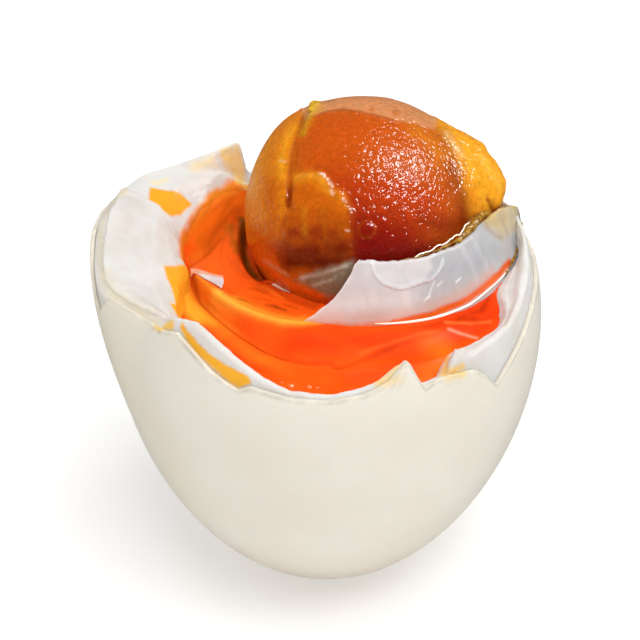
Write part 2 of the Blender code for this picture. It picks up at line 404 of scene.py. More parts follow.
def path_distance(points: Array, path: Sequence[Sequence[float]], closed: bool) -> Array:
    """Distance from each point to a path of straight runs."""
    corners = np.array(path, float)
    ends = np.roll(corners, -1, axis=0) if closed else corners[1:]
    starts = corners if closed else corners[:-1]
    nearest = np.full(len(points), np.inf)
    for start, end in zip(starts, ends):
        run = end - start
        share = np.clip((points - start) @ run / max(run @ run, 1e-12), 0.0, 1.0)
        nearest = np.minimum(nearest, np.linalg.norm(points - start - share[:, None] * run, axis=1))
    return nearest


def inside(points: Array, outline: Sequence[Sequence[float]]) -> Array:
    """Whether each point lies inside a closed outline."""
    corners = np.array(outline, float)
    held = np.zeros(len(points), bool)
    for start, end in zip(corners, np.roll(corners, -1, axis=0)):
        crosses = (start[1] > points[:, 1]) != (end[1] > points[:, 1])
        rise = end[1] - start[1] if end[1] != start[1] else 1e-12
        at = start[0] + (points[:, 1] - start[1]) * (end[0] - start[0]) / rise
        held ^= crosses & (points[:, 0] < at)
    return held


def depth_in(points: Array, shape: Sequence[Sequence[float]], plane: Plane, closed: bool) -> Array:
    """How deep each point lies inside an outline, or minus its distance from a path."""
    flat = to_plane(points, plane)
    corners = in_plane(shape, plane)
    edge = path_distance(flat, corners, closed)
    return np.where(inside(flat, corners), edge, -edge) if closed else -edge


@dataclass(frozen=True)
class Rise:
    """A part of a surface that stands out by its height, or sinks in where that is negative.

    A closed shape is an outline that rises over a blend at its edge. An open one is a path, and
    its hump is about a blend wide. The bumps, if any, are added to the height.
    """

    shape: Rows
    blend: float
    height: float
    closed: bool = False
    bumps: Bumps | None = None
    plane: Plane = Plane.FRONT

    def at(self, points: Array) -> Array:
        """How far the surface stands out at each point, in millimetres."""
        depth = depth_in(points, self.shape, self.plane, self.closed)
        share = smooth_step(depth / self.blend + 0.5) if self.closed else hump(depth, self.blend)
        return share * (self.height + (self.bumps.at(points) if self.bumps else 0.0))


def lay(colours: Array, points: Array, facing: Array, brush: Patch | Stroke,
        plane: Plane, seed: float) -> None:
    """Lay one brush on the colours.

    Args:
        colours: Red, green, blue and cover, one row a vertex, changed in place.
        points: The vertices in millimetres.
        facing: How far each vertex faces the front plane, from -1 to 1.
        brush: The patch or the stroke.
        plane: The plane that it is laid on.
        seed: Moves the bumps that make its edge ragged.
    """
    if isinstance(brush, Patch):
        depth = depth_in(points, brush.outline, plane, True)
    else:
        depth = brush.width + depth_in(points, brush.path, plane, False)
    reach = brush.feather + brush.ragged * 1.5
    if plane is Plane.FRONT:
        depth = np.where(facing > FACING[0], depth, -2.0 * reach)
    near = np.abs(depth) < reach
    depth[near] += Bumps(1.6, brush.ragged, seed, 4).at(points[near])
    cover = smooth_step(depth / brush.feather * 0.5 + 0.5) * brush.strength
    if plane is Plane.FRONT:
        cover = cover * ease(facing, *FACING)
    target = np.array(linear(brush.colour)[:3])
    kept = colours[:, 3] * (1.0 - cover)
    total = kept + cover
    safe = np.maximum(total, 1e-6)[:, None]
    colours[:, :3] = (colours[:, :3] * kept[:, None] + target * cover[:, None]) / safe
    colours[:, 3] = total


def paint(piece: Piece, base: str, cover: float, brushes: Sequence[Patch | Stroke],
          plane: Plane = Plane.PLAN) -> None:
    """Give the piece a colour attribute.

    Args:
        piece: The piece.
        base: The colour under the brushes.
        cover: How far the base covers the material's own colour, from 0 to 1.
        brushes: What is laid over it, in order.
        plane: The plane of the brushes that name none.
    """
    points = positions(piece)
    facing = normals(piece) @ FRONT_AIM
    colours = np.tile(np.array([*linear(base)[:3], cover]), (len(points), 1))
    for number, brush in enumerate(brushes):
        lay(colours, points, facing, brush, brush.plane or plane, 7.0 * number)
    layer = piece.data.color_attributes.new(TINT, "FLOAT_COLOR", "POINT")
    layer.data.foreach_set("color", colours.astype(np.float32).ravel())


def lay_flow(piece: Piece, stretch: float) -> None:
    """Give the piece coordinates that follow rings round the yolk, drawn out along them.

    Args:
        piece: The piece.
        stretch: How many times longer a pattern on them is along a ring than across it.
    """
    away = positions(piece) - np.array(Yolk.centre)
    reach = np.hypot(away[:, 0], away[:, 1])
    turned = away[:, :2] / reach[:, None] * (16.0 / stretch)
    flow = np.concatenate([turned, (reach + away[:, 2])[:, None]], axis=1) * MM
    layer = piece.data.attributes.new(FLOW, "FLOAT_VECTOR", "POINT")
    layer.data.foreach_set("vector", flow.astype(np.float32).ravel())


# Finishes


def add_node(tree: bpy.types.NodeTree, kind: str, settings: dict[str, Any] | None = None,
             **links: Any) -> bpy.types.Node:
    """Add a node with its settings and links.

    Args:
        tree: The material's or the world's node tree.
        kind: The node's type name.
        settings: Its properties and its sockets' values, by name. "ramp" takes a colour ramp's
            places and hex colours.
        **links: What feeds its sockets, by the socket's name with "_" for a space, as an output
            socket or a node, whose first output is then used.

    Returns:
        The node.
    """
    node = tree.nodes.new(kind)
    for key, value in (settings or {}).items():
        if key == "ramp":
            elements = node.color_ramp.elements
            while len(elements) < len(value):
                elements.new(0.5)
            for element, (place, colour) in zip(elements, value):
                element.position = place
                element.color = linear(colour)
        elif hasattr(node, key):
            setattr(node, key, value)
        else:
            node.inputs[int(key[1:]) if key[0] == "#" else key].default_value = value
    for key, source in links.items():
        name = int(key[1:]) if key[0] == "n" and key[1:].isdigit() else key.replace("_", " ")
        output = source.outputs[0] if isinstance(source, bpy.types.Node) else source
        tree.links.new(output, node.inputs[name])
    return node


def new_material(name: str) -> tuple[bpy.types.Material, bpy.types.NodeTree, bpy.types.Node]:
    """A material with an empty Principled shader."""
    material = bpy.data.materials.new(name)
    material.use_nodes = True
    tree = material.node_tree
    return material, tree, tree.nodes["Principled BSDF"]


def set_sockets(shader: bpy.types.Node, values: dict[str, Any]) -> None:
    """Set constant values on the shader's own sockets."""
    for key, value in values.items():
        shader.inputs[key].default_value = value


def per_metre(size_mm: float) -> float:
    """The scale of a pattern on coordinates in metres whose features are that large."""
    return 1.0 / (size_mm * MM)


def paint_over(tree: bpy.types.NodeTree, pattern: bpy.types.Node,
               ramp: tuple[tuple[float, str], ...]) -> bpy.types.NodeSocket:
    """Colour a pattern by a ramp, with the piece's paint over it where the paint covers.

    Args:
        tree: The material's node tree.
        pattern: The node whose first output drives the ramp.
        ramp: The ramp's places and hex colours.

    Returns:
        The colour.
    """
    colour = add_node(tree, "ShaderNodeValToRGB", {"ramp": ramp}, Fac=pattern)
    tint = add_node(tree, "ShaderNodeAttribute", {"attribute_name": TINT})
    mixed = add_node(tree, "ShaderNodeMix", {"data_type": "RGBA"},
                     n0=tint.outputs["Alpha"], n6=colour, n7=tint.outputs["Color"])
    return mixed.outputs[2]


def shade_paint(tree: bpy.types.NodeTree, pattern: bpy.types.Node, dark: float,
                light: float) -> bpy.types.NodeSocket:
    """Darken and lighten the piece's paint by a pattern.

    Args:
        tree: The material's node tree.
        pattern: The node whose first output drives it.
        dark: How bright the paint is where the pattern is low.
        light: How bright it is where the pattern is high.

    Returns:
        The colour.
    """
    tint = add_node(tree, "ShaderNodeAttribute", {"attribute_name": TINT})
    shade = add_node(tree, "ShaderNodeMapRange",
                     {"From Min": 0.3, "From Max": 0.7, "To Min": dark, "To Max": light}, Value=pattern)
    scaled = add_node(tree, "ShaderNodeVectorMath", {"operation": "SCALE"},
                      n0=tint.outputs["Color"], Scale=shade)
    return scaled.outputs[0]


def feed_shader(tree: bpy.types.NodeTree, colour: bpy.types.NodeSocket, pattern: bpy.types.Node,
                strength: float, height_mm: float) -> None:
    """Feed the Principled shader its colour, and bump its surface by a pattern.

    Args:
        tree: The material's node tree.
        colour: The base colour.
        pattern: The node whose first output is the bumps' height.
        strength: How strong the bumps are.
        height_mm: How high they are.
    """
    shader = tree.nodes["Principled BSDF"]
    bump = add_node(tree, "ShaderNodeBump", {"Strength": strength, "Distance": height_mm * MM},
                    Height=pattern)
    tree.links.new(colour, shader.inputs["Base Color"])
    tree.links.new(bump.outputs[0], shader.inputs["Normal"])


@dataclass(frozen=True)
class Eggshell:
    """Duck eggshell: smooth, dull calcite with fine pores, faintly cloudy, that lets light in a little."""

    name: str = "eggshell_calcite"
    light: str = "F0E8DA"
    dark: str = "ECE3D4"
    cloud_mm: float = 9.0
    pore_mm: float = 0.45
    roughness: float = 0.42

    def build(self) -> bpy.types.Material:
        """Make the material."""
        material, tree, shader = new_material(self.name)
        place = add_node(tree, "ShaderNodeTexCoord").outputs["Object"]
        cloud = add_node(tree, "ShaderNodeTexNoise",
                         {"Scale": per_metre(self.cloud_mm), "Detail": 3.0, "Roughness": 0.5}, Vector=place)
        pores = add_node(tree, "ShaderNodeTexNoise",
                         {"Scale": per_metre(self.pore_mm), "Detail": 2.0}, Vector=place)
        colour = paint_over(tree, cloud, ((0.35, self.dark), (0.65, self.light)))
        feed_shader(tree, colour, pores, strength=0.06, height_mm=0.1)
        set_sockets(shader, {"Roughness": self.roughness, "IOR": 1.5, "Subsurface Weight": 0.25,
                             "Subsurface Radius": (1.0, 0.8, 0.6), "Subsurface Scale": 1.2 * MM,
                             "Specular IOR Level": 0.35})
        return material


@dataclass(frozen=True)
class CookedWhite:
    """Boiled egg white: moist gel, soft gloss, light goes some way in, faint layers round the egg."""

    name: str = "boiled_egg_white"
    light: str = "DEDCD9"
    dark: str = "D6D2CB"
    cloud_mm: float = 4.0
    layer_mm: float = 0.8
    roughness: float = 0.38
    depth_mm: float = 1.6

    def build(self) -> bpy.types.Material:
        """Make the material."""
        material, tree, shader = new_material(self.name)
        place = add_node(tree, "ShaderNodeTexCoord").outputs["Object"]
        cloud = add_node(tree, "ShaderNodeTexNoise",
                         {"Scale": per_metre(self.cloud_mm), "Detail": 4.0}, Vector=place)
        layers = add_node(tree, "ShaderNodeTexNoise",
                          {"Scale": per_metre(self.layer_mm), "Detail": 3.0, "Distortion": 0.6}, Vector=place)
        colour = paint_over(tree, cloud, ((0.35, self.dark), (0.62, self.light)))
        feed_shader(tree, colour, layers, strength=0.18, height_mm=0.15)
        set_sockets(shader, {"Roughness": self.roughness, "IOR": 1.36, "Subsurface Weight": 0.5,
                             "Subsurface Radius": (1.0, 0.7, 0.5), "Subsurface Scale": self.depth_mm * MM,
                             "Specular IOR Level": 0.08, "Coat Weight": 0.03, "Coat Roughness": 0.12})
        return material


@dataclass(frozen=True)
class YolkOil:
    """Orange oil pressed out of the yolk: thick, glossy, with drawn-out streaks of thick and thin."""

    name: str = "yolk_oil_glossy"
    streak_mm: float = 0.7
    roughness: float = 0.2
    dark: float = 0.84
    light: float = 1.1

    def build(self) -> bpy.types.Material:
        """Make the material."""
        material, tree, shader = new_material(self.name)
        flow = add_node(tree, "ShaderNodeAttribute", {"attribute_name": FLOW})
        streaks = add_node(tree, "ShaderNodeTexNoise",
                           {"Scale": per_metre(self.streak_mm), "Detail": 3.0, "Distortion": 0.4},
                           Vector=flow.outputs["Vector"])
        colour = shade_paint(tree, streaks, self.dark, self.light)
        feed_shader(tree, colour, streaks, strength=0.12, height_mm=0.12)
        set_sockets(shader, {"Roughness": self.roughness, "IOR": 1.46, "Subsurface Weight": 0.1,
                             "Subsurface Radius": (1.0, 0.35, 0.1), "Subsurface Scale": 0.8 * MM,
                             "Specular IOR Level": 0.05, "Coat Weight": 0.08, "Coat Roughness": 0.04})
        return material


@dataclass(frozen=True)
class SaltedYolk:
    """Cured yolk: dense, waxy and finely grained, its grains wet with oil so that they glint."""

    name: str = "salted_yolk_wet_grain"
    # Real grains are 0.1 to 0.2 mm, too fine to show, so they are drawn two or three times as coarse
    grain_mm: float = 0.5
    mottle_mm: float = 0.5
    roughness: float = 0.6
    dark: float = 0.76
    light: float = 1.18

    def build(self) -> bpy.types.Material:
        """Make the material."""
        material, tree, shader = new_material(self.name)
        place = add_node(tree, "ShaderNodeTexCoord").outputs["Object"]
        mottle = add_node(tree, "ShaderNodeTexNoise",
                          {"Scale": per_metre(self.mottle_mm), "Detail": 5.0, "Roughness": 0.7}, Vector=place)
        grain = add_node(tree, "ShaderNodeTexNoise",
                         {"Scale": per_metre(self.grain_mm), "Detail": 1.5, "Roughness": 0.5}, Vector=place)
        colour = shade_paint(tree, mottle, self.dark, self.light)
        feed_shader(tree, colour, grain, strength=0.3, height_mm=0.1)
        wet = add_node(tree, "ShaderNodeBump", {"Strength": 1.0, "Distance": 0.31 * MM}, Height=grain)
        tree.links.new(wet.outputs[0], shader.inputs["Coat Normal"])
        set_sockets(shader, {"Roughness": self.roughness, "IOR": 1.45, "Subsurface Weight": 0.15,
                             "Subsurface Radius": (1.0, 0.35, 0.1), "Subsurface Scale": 0.6 * MM,
                             "Specular IOR Level": 0.03, "Coat Weight": 0.55, "Coat Roughness": 0.05})
        return material


@dataclass(frozen=True)
class WetWhite:
    """Thin torn white standing in oil: pearly grey, glassy wet, glowing orange where it meets the oil."""

    name: str = "thin_wet_egg_white"
    cloud_mm: float = 2.5
    roughness: float = 0.16
    dark: float = 0.93
    light: float = 1.05

    def build(self) -> bpy.types.Material:
        """Make the material."""
        material, tree, shader = new_material(self.name)
        place = add_node(tree, "ShaderNodeTexCoord").outputs["Object"]
        cloud = add_node(tree, "ShaderNodeTexNoise",
                         {"Scale": per_metre(self.cloud_mm), "Detail": 3.0, "Distortion": 0.8}, Vector=place)
        colour = shade_paint(tree, cloud, self.dark, self.light)
        feed_shader(tree, colour, cloud, strength=0.12, height_mm=0.25)
        set_sockets(shader, {"Roughness": self.roughness, "IOR": 1.36, "Subsurface Weight": 0.4,
                             "Subsurface Radius": (1.0, 0.8, 0.7), "Subsurface Scale": 0.8 * MM,
                             "Coat Weight": 0.6, "Coat Roughness": 0.06})
        return material


@dataclass(frozen=True)
class GlossWithPaintedGlow:
    """A thin raised rim of clear oil or water, painted pale and glowing as the highlight it catches all along."""

    name: str = "wet_rim_painted_highlight"
    colour: str = "FFF4E2"
    glow: float = 0.25

    def build(self) -> bpy.types.Material:
        """Make the material."""
        material, tree, shader = new_material(self.name)
        place = add_node(tree, "ShaderNodeTexCoord").outputs["Object"]
        waves = add_node(tree, "ShaderNodeTexNoise", {"Scale": per_metre(0.6), "Detail": 2.0}, Vector=place)
        bump = add_node(tree, "ShaderNodeBump", {"Strength": 0.2, "Distance": 0.1 * MM}, Height=waves)
        tree.links.new(bump.outputs[0], shader.inputs["Normal"])
        set_sockets(shader, {"Base Color": linear(self.colour), "Roughness": 0.06, "IOR": 1.46,
                             "Coat Weight": 1.0, "Coat Roughness": 0.03,
                             "Emission Color": linear(self.colour), "Emission Strength": self.glow})
        return material


@dataclass(frozen=True)
class CrumblyYolk:
    """Crumbs of yolk rubbed into wet white: mustard to olive, grainy and moist."""

    name: str = "crumbly_mustard_yolk"
    light: str = "B8861A"
    dark: str = "7A4E10"
    crumb_mm: float = 0.35

    def build(self) -> bpy.types.Material:
        """Make the material."""
        material, tree, shader = new_material(self.name)
        place = add_node(tree, "ShaderNodeTexCoord").outputs["Object"]
        crumbs = add_node(tree, "ShaderNodeTexNoise",
                          {"Scale": per_metre(self.crumb_mm), "Detail": 3.0, "Roughness": 0.6}, Vector=place)
        colour = add_node(tree, "ShaderNodeValToRGB",
                          {"ramp": ((0.38, self.dark), (0.62, self.light))}, Fac=crumbs)
        feed_shader(tree, colour.outputs["Color"], crumbs, strength=0.7, height_mm=0.12)
        set_sockets(shader, {"Roughness": 0.6, "IOR": 1.45, "Specular IOR Level": 0.15,
                             "Coat Weight": 0.2, "Coat Roughness": 0.12})
        return material


def dress(piece: Piece, finish: bpy.types.Material) -> None:
    """Give the piece one material."""
    piece.data.materials.clear()
    piece.data.materials.append(finish)


def hand_over(piece: Piece, finish: bpy.types.Material,
              node: Node | None = None) -> None:
    """Dress the piece, let it ride on the egg, and hide the imported part of the node that it stands for, if any."""
    dress(piece, finish)
    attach(piece, BODY)
    if node is not None:
        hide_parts(node.value)
    LOG.info("%s: %d faces", piece.name, len(piece.data.polygons))


# The egg's own form


@dataclass(frozen=True)
class EggForm:
    """The round form of the whole egg, with the side that leans out where it cracked."""

    length: float = 56.1
    width: float = 44.5
    bluntness: float = 0.125
    tip_cut: float = 0.94
    bulge_azimuth: float = 170.0
    bulge_reach: float = 44.0
    bulge_start: float = 21.0
    bulge_height: float = 17.0
    bulge_size: float = 3.0
    bulge_curve: float = 1.6

    def radius(self, height: Array, inset: Array | float = 0.0) -> Array:
        """Radius of the egg, or of the smaller egg that lies inset within it."""
        half_length = self.length / 2.0 - inset
        station = np.clip((height + self.tip_cut - self.length / 2.0) / half_length, -1.0, 1.0)
        return (self.width / 2.0 - inset) * np.sqrt(1.0 - station**2) * (1.0 + self.bluntness * station)

    def bulge(self, azimuth: Array, height: Array) -> Array:
        """How far the cracked side leans out past the round form."""
        offset = degrees_apart(azimuth, self.bulge_azimuth)
        side = smooth_step(2.0 * (1.0 - offset / self.bulge_reach))
        rise = np.maximum(height - self.bulge_start, 0.0) / self.bulge_height
        return self.bulge_size * side * rise**self.bulge_curve

    def wall(self, azimuth: Array, height: Array, inset: Array | float) -> Array:
        """Radius of the wall, with the bulge."""
        return self.radius(height, inset) + self.bulge(azimuth, height)


def polar(azimuth: Array, radius: Array, height: Array,
          centre: Sequence[float] = (0.0, 0.0)) -> Array:
    """Points at azimuths and radii about an upright axis, one a row."""
    angle = np.radians(azimuth)
    across, deep = centre[0] + radius * np.cos(angle), centre[1] + radius * np.sin(angle)
    return np.stack(np.broadcast_arrays(across, deep, height), axis=-1)


def round_yolk(points: Array) -> tuple[Array, Array]:
    """The azimuth round the yolk, and the distance from its axis, of each point."""
    away = points[:, :2] - np.array(Yolk.centre[:2])
    return np.degrees(np.arctan2(away[:, 1], away[:, 0])), np.linalg.norm(away, axis=1)


@dataclass
class Shell:
    """The broken eggshell, a thin cup with a chipped edge."""

    form: EggForm
    finish: Eggshell
    thickness: float = 0.45
    columns: int = 480
    rings: int = 54
    ring_curve: float = 0.9
    chip: Bumps = Bumps(1.4, 0.1, 3.0, 4)
    edge_bevel: float = 0.07
    edge: Rows = (
        (-180, 38.8), (-175, 37.6), (-170, 36.4), (-165, 35.0), (-160, 38.2), (-150, 37.7),
        (-140, 38.1), (-135, 38.8), (-130, 38.0), (-120, 36.2), (-114, 35.4), (-110, 36.0),
        (-100, 35.5), (-90, 35.4), (-80, 35.9), (-74, 36.9), (-68, 38.7), (-64, 35.3), (-60, 35.9),
        (-48, 35.2), (-44, 33.8), (-40, 31.8), (-35, 32.9), (-25, 34.6), (-15, 35.9), (0, 36.7),
        (30, 36.0), (60, 35.4), (90, 35.9), (106, 35.2), (113, 35.0), (117, 37.4), (121, 38.2), (145, 38.0),
        (165, 39.2), (175, 39.4),
    )
    stains_and_shade: tuple[Patch | Stroke, ...] = (
        # A yellowish tinge; a pinkish tinge low at the front, darker there as painted shade; painted shade on the
        # broken edge, which dulls the light its top catches; and yellow staining along it
        Stroke("E9DFC2", ((-172.0, 33.0), (-160.0, 30.0), (-148.0, 25.0), (-138.0, 18.0)), 2.0, 7.0, 0.6, 0.5),
        Stroke("EAD8C6", ((-125.0, 7.0), (-100.0, 5.0), (-75.0, 5.5), (-60.0, 8.0)), 2.0, 6.0, 0.6, 0.5),
        Stroke("CFC7B6", (*edge, (180, 38.8)), 0.06, 0.1, 0.9, 0.02),
        Stroke("F2C34A", ((-143.5, 37.9), (-141.0, 38.1)), 0.35, 0.35, 0.9, 0.3),
        Stroke("F0C65C", ((-75.5, 36.9), (-70.5, 37.0)), 0.3, 0.5, 0.7, 0.3),
        Stroke("F0C65C", ((-56.5, 35.6), (-52.0, 35.4)), 0.3, 0.5, 0.7, 0.3),
    )

    def sections(self) -> Array:
        """The outer face from the flat spot to the chipped edge."""
        azimuth = np.linspace(-180.0, 180.0, self.columns, endpoint=False)
        edge = around(self.edge, azimuth)
        edge = edge + self.chip.at(polar(azimuth, self.form.radius(edge), edge))
        foot = self.form.radius(np.zeros(1))[0]
        rings = [polar(azimuth, np.full_like(azimuth, share * foot), 0.0) for share in (0.0, 0.5, 1.0)]
        for share in steps(self.rings):
            height = edge * share**self.ring_curve
            rings.append(polar(azimuth, self.form.wall(azimuth, height, 0.0), height))
        return np.stack(rings)

    def build(self) -> None:
        """Model and dress the shell."""
        piece = raise_rings("broken_shell", self.sections())
        apply_modifier(piece, "SOLIDIFY", thickness=self.thickness * MM, offset=-1.0)
        apply_modifier(piece, "BEVEL", width=self.edge_bevel * MM, segments=2, limit_method="ANGLE",
                       angle_limit=SHARP_ANGLE)
        smooth_shade(piece)
        paint(piece, "F0EADF", 0.0, self.stains_and_shade, Plane.WALL)
        hand_over(piece, self.finish.build(), Node.SHELL)


@dataclass
class White:
    """The cup of cooked white: its torn rim, the ledge inside the rim, and the hollow."""

    form: EggForm
    finish: CookedWhite
    columns: int = 720
    inset: float = 0.44
    gap: float = 0.85
    gap_azimuth: float = -170.0
    gap_reach: float = 36.0
    gap_blend: float = 12.0
    gap_depth: float = 1.0
    basin_floor: float = 32.4
    basin_slope: float = 1.0
    ledge_below_rim: float = 0.05
    hollow_below_ledge: float = 0.2
    # How the rings crowd: where the wall's first one lies, and how far up its wide ones go
    foot_share: float = 0.002
    wall_curve: float = 1.6
    wall_share: float = 0.86
    # The shoulder takes at most this share of the way in, and the ledge steepens into the hollow
    shoulder_limit: float = 0.6
    ledge_curve: float = 1.25
    round_over: float = 0.25
    seat_edge: float = 11.1
    seat_radii: tuple[float, ...] = (9.5, 7.5, 5.0, 2.5, 0.0)
    seat_clearance: float = 0.15
    # Degrees over which the tables of the rim, and of the hollow's height, are averaged
    soften: float = 6.0
    soften_hollow: float = 8.0
    tear: Bumps = Bumps(1.8, 0.16, 11.0, 4)
    lip_waves: Bumps = Bumps(2.4, 0.25, 17.0)
    hollow_waves: Bumps = Bumps(3.0, 0.2, 23.0, 4)
    folds: Bumps = Bumps(3.4, 0.14, 31.0)
    pits: Bumps = Bumps(1.2, 0.05, 37.0)
    # Where the folds begin: inside the shell and above a height, each a start and a width
    folds_inside: Span = (0.7, 0.8)
    folds_above: Span = (33.0, 1.5)
    # How far below the rounded rim the outer wall's close rings lie
    close_rings: tuple[float, ...] = (
        4.2, 3.6, 3.1, 2.7, 2.35, 2.05, 1.75, 1.5, 1.25, 1.02, 0.8, 0.6, 0.42, 0.28, 0.15, 0.03,
    )
    edge: Rows = (
        (-180, 39.4), (-170, 38.4), (-160, 38.0), (-150, 37.9), (-145, 38.2), (-140, 38.9),
        (-135, 39.8), (-130, 40.2), (-125, 39.7), (-120, 38.9), (-110, 37.2), (-100, 35.8),
        (-90, 35.5), (-80, 36.1), (-74, 37.1), (-68, 38.3), (-64, 35.2), (-56, 35.6), (-52, 37.6),
        (-48, 36.6), (-30, 36.6), (-15, 38.0), (0, 39.0), (15, 39.9), (25, 39.0), (40, 36.8),
        (60, 36.0), (90, 36.0), (106, 35.6), (113.4, 35.5), (115.2, 37.0), (116.4, 39.0), (117.6, 40.4), (119.2, 40.8),
        (124, 40.6), (128, 40.4), (132, 40.0), (135, 39.7), (139, 39.3), (143, 39.1), (148, 39.1), (152, 39.3),
        (156, 39.8), (162, 40.4), (168, 40.5), (175, 40.1),
    )
    lip: Rows = (
        (-180, 0.9), (-150, 0.9), (-135, 0.9), (-60, 0.9), (-45, 0.8), (0, 0.6), (30, 0.6),
        (60, 0.6), (100, 0.5), (112, 0.2), (128, 0.2), (150, 0.5),
    )
    rounding: Rows = (
        (-180, 0.5), (-150, 0.5), (-135, 0.3), (-100, 0.25), (-60, 0.2), (-45, 0.2), (0, 0.22), (60, 0.25),
        (100, 0.3), (112, 0.12), (128, 0.12), (150, 0.3),
    )
    shoulder: Rows = (
        (-180, 4.5), (-155, 3.0), (-135, 0.8), (-60, 0.5), (-45, 1.0), (0, 2.4), (60, 1.0), (100, 1.5),
        (115, 3.0), (150, 4.0),
    )
    ledge: Rows = (
        (-180, 38.2), (-165, 37.2), (-150, 36.6), (-135, 36.0), (-120, 35.4), (-100, 34.9),
        (-60, 34.9), (-50, 36.2), (-30, 36.0), (0, 37.4), (15, 38.0), (30, 37.2), (60, 35.6),
        (95, 35.8), (112, 35.5), (119, 36.2), (125, 38.6), (140, 38.9), (165, 39.0),
    )
    hollow_radius: Rows = (
        (-180, 14.7), (-165, 15.8), (-150, 17.4), (-135, 18.8), (-120, 19.8), (-100, 20.4),
        (-60, 20.4), (-56, 20.4), (-52, 18.9), (-45, 18.8), (-33, 19.7), (-26, 19.8), (-21, 19.2), (-16, 18.0),
        (-11, 17.7), (-5, 18.5), (1, 19.6), (15, 20.0),
        (45, 20.2), (60, 20.2), (75, 19.8), (90, 18.9), (105, 18.2), (120, 17.6), (150, 16.9),
        (165, 15.8),
    )
    hollow_height: Rows = (
        (-180, 36.5), (-150, 35.9), (-120, 34.9), (-60, 34.8), (-50, 35.6), (-30, 35.4), (0, 36.2),
        (30, 36.2), (60, 35.0), (95, 35.6), (120, 37.2), (150, 36.9),
    )
    stains_and_shade: tuple[Patch | Stroke, ...] = (
        # The stained wall of the hollow at the upper left, yellow at its thin upper edge, and deeper orange within,
        # where painted shade of the hollow darkens the stain
        Patch("F7922A", ((-15.2, 1.2), (-15.5, 4.6), (-15.1, 7.0), (-14.1, 9.6), (-12.7, 12.2),
                         (-11.5, 13.5), (-10.2, 15.1), (-8.5, 16.3), (-2.0, 17.2), (-4.0, 4.0),
                         (-8.0, -3.0), (-13.6, -1.2)), 0.3, 1.0, 0.2),
        Patch("E86A10", ((-14.8, 1.2), (-15.1, 4.8), (-14.7, 6.8), (-13.6, 9.2), (-12.0, 11.5),
                         (-10.9, 12.9), (-9.6, 14.5), (-7.8, 15.7), (-2.0, 16.4), (-4.0, 4.0), (-8.0, -3.0)),
              0.7, 0.95, 0.25),
        Patch("CC4C08", ((-13.2, 5.6), (-13.0, 8.6), (-11.8, 10.8), (-10.4, 12.6), (-8.4, 14.2),
                         (-5.0, 14.8), (-8.0, 6.0), (-11.0, 5.0)), 1.0, 0.8, 0.3),
        # The white's flank in the shadow of the shell that cracked away
        Stroke("D3C6A8", ((-21.2, 9.9), (-22.7, 6.1), (-23.4, 2.0), (-23.4, -2.0), (-22.9, -4.9), (-21.9, -7.1),
                          (-19.8, -9.3), (-18.3, -10.6), (-17.1, -12.0)), 0.25, 0.3, 0.85, 0.08),
        Stroke("DCD1B8", ((-22.7, -4.2), (-21.7, -6.8), (-19.7, -8.9), (-18.1, -10.3), (-17.0, -11.6)), 0.4, 1.1, 0.75,
               0.2),
        # The wedge of oil on the ledge
        Patch("FDA92A", ((-18.7, 11.1), (-15.7, 10.9), (-14.3, 10.4), (-15.6, 8.0), (-16.5, 6.9),
                         (-17.3, 7.4), (-17.9, 8.3), (-18.8, 8.8)), 0.16, 1.0, 0.12),
        # Oil that ran over the left of the ledge, in two steps
        Patch("FFAC2A", ((-16.9, -1.3), (-15.6, -0.6), (-14.0, 1.4), (-12.0, -4.0), (-12.6, -7.6), (-14.9, -7.6),
                         (-15.6, -5.6), (-16.1, -3.6)), 0.16, 1.0, 0.1),
        Patch("FFB22E", ((-16.0, -6.5), (-15.2, -6.1), (-14.4, -4.6), (-11.6, -4.0), (-11.8, -8.6), (-14.0, -9.3),
                         (-15.4, -7.8)), 0.16, 1.0, 0.1),
        # Yellow spots on the rim at the back left
        Patch("F6D67E", ((-9.6, 17.4), (-8.6, 17.2), (-8.6, 15.0), (-9.8, 15.1), (-10.2, 16.4)),
              0.5, 0.8, 0.4),
        Stroke("F3CF6A", ((-11.0, 16.1), (-10.3, 16.5)), 0.3, 0.4, 0.9, 0.3),
        Stroke("F5DE9C", ((-14.2, 14.6), (-12.2, 15.3)), 0.35, 0.6, 0.6, 0.3),
        Stroke("F5DE9C", ((-18.2, 12.2), (-17.0, 12.9)), 0.25, 0.5, 0.6, 0.3),
        Stroke("F5DE9C", ((-21.4, 8.4), (-21.0, 9.0)), 0.25, 0.5, 0.5, 0.3),
        # The yellow streak between the rim and the shell at the front left
        Patch("F9B436", ((-135.4, 39.1), (-132.0, 38.3), (-128.6, 37.5), (-123.2, 36.7), (-118.4, 36.0),
                         (-113.9, 35.3), (-110.2, 36.3), (-111.5, 36.9), (-115.3, 37.25), (-119.1, 37.5),
                         (-122.9, 37.9), (-126.8, 38.4), (-130.9, 39.0), (-134.8, 39.75)),
              0.14, 1.0, 0.1, Plane.WALL),
        Stroke("F4BE48", ((-142.0, 38.0), (-138.0, 38.6)), 0.35, 0.3, 0.9, 0.35, Plane.WALL),
        Stroke("F3C75E", ((-76.5, 36.6), (-70.5, 37.6)), 0.3, 0.4, 0.7, 0.3, Plane.WALL),
        Stroke("F3BB45", ((-57.0, 35.5), (-51.5, 35.9)), 0.35, 0.4, 0.8, 0.3, Plane.WALL),
    )

    def outside(self, azimuth: Array, height: Array, edge: Array) -> Array:
        """Radius of the outer wall, which stands off the shell where the shell cracked away."""
        side = ease(degrees_apart(azimuth, self.gap_azimuth), self.gap_reach, -self.gap_blend)
        rise = smooth_step((height - edge + self.gap_depth) / self.gap_depth)
        return self.form.wall(azimuth, height, self.inset) - self.gap * side * rise

    def hollow_wall(self, azimuth: Array, height: Array) -> Array:
        """Radius of the inner wall at a height in the hollow."""
        rim = around(self.hollow_height, azimuth, self.soften_hollow)
        share = (rim - height) / (rim - self.basin_floor)
        return around(self.hollow_radius, azimuth, self.soften_hollow) - self.basin_slope * share

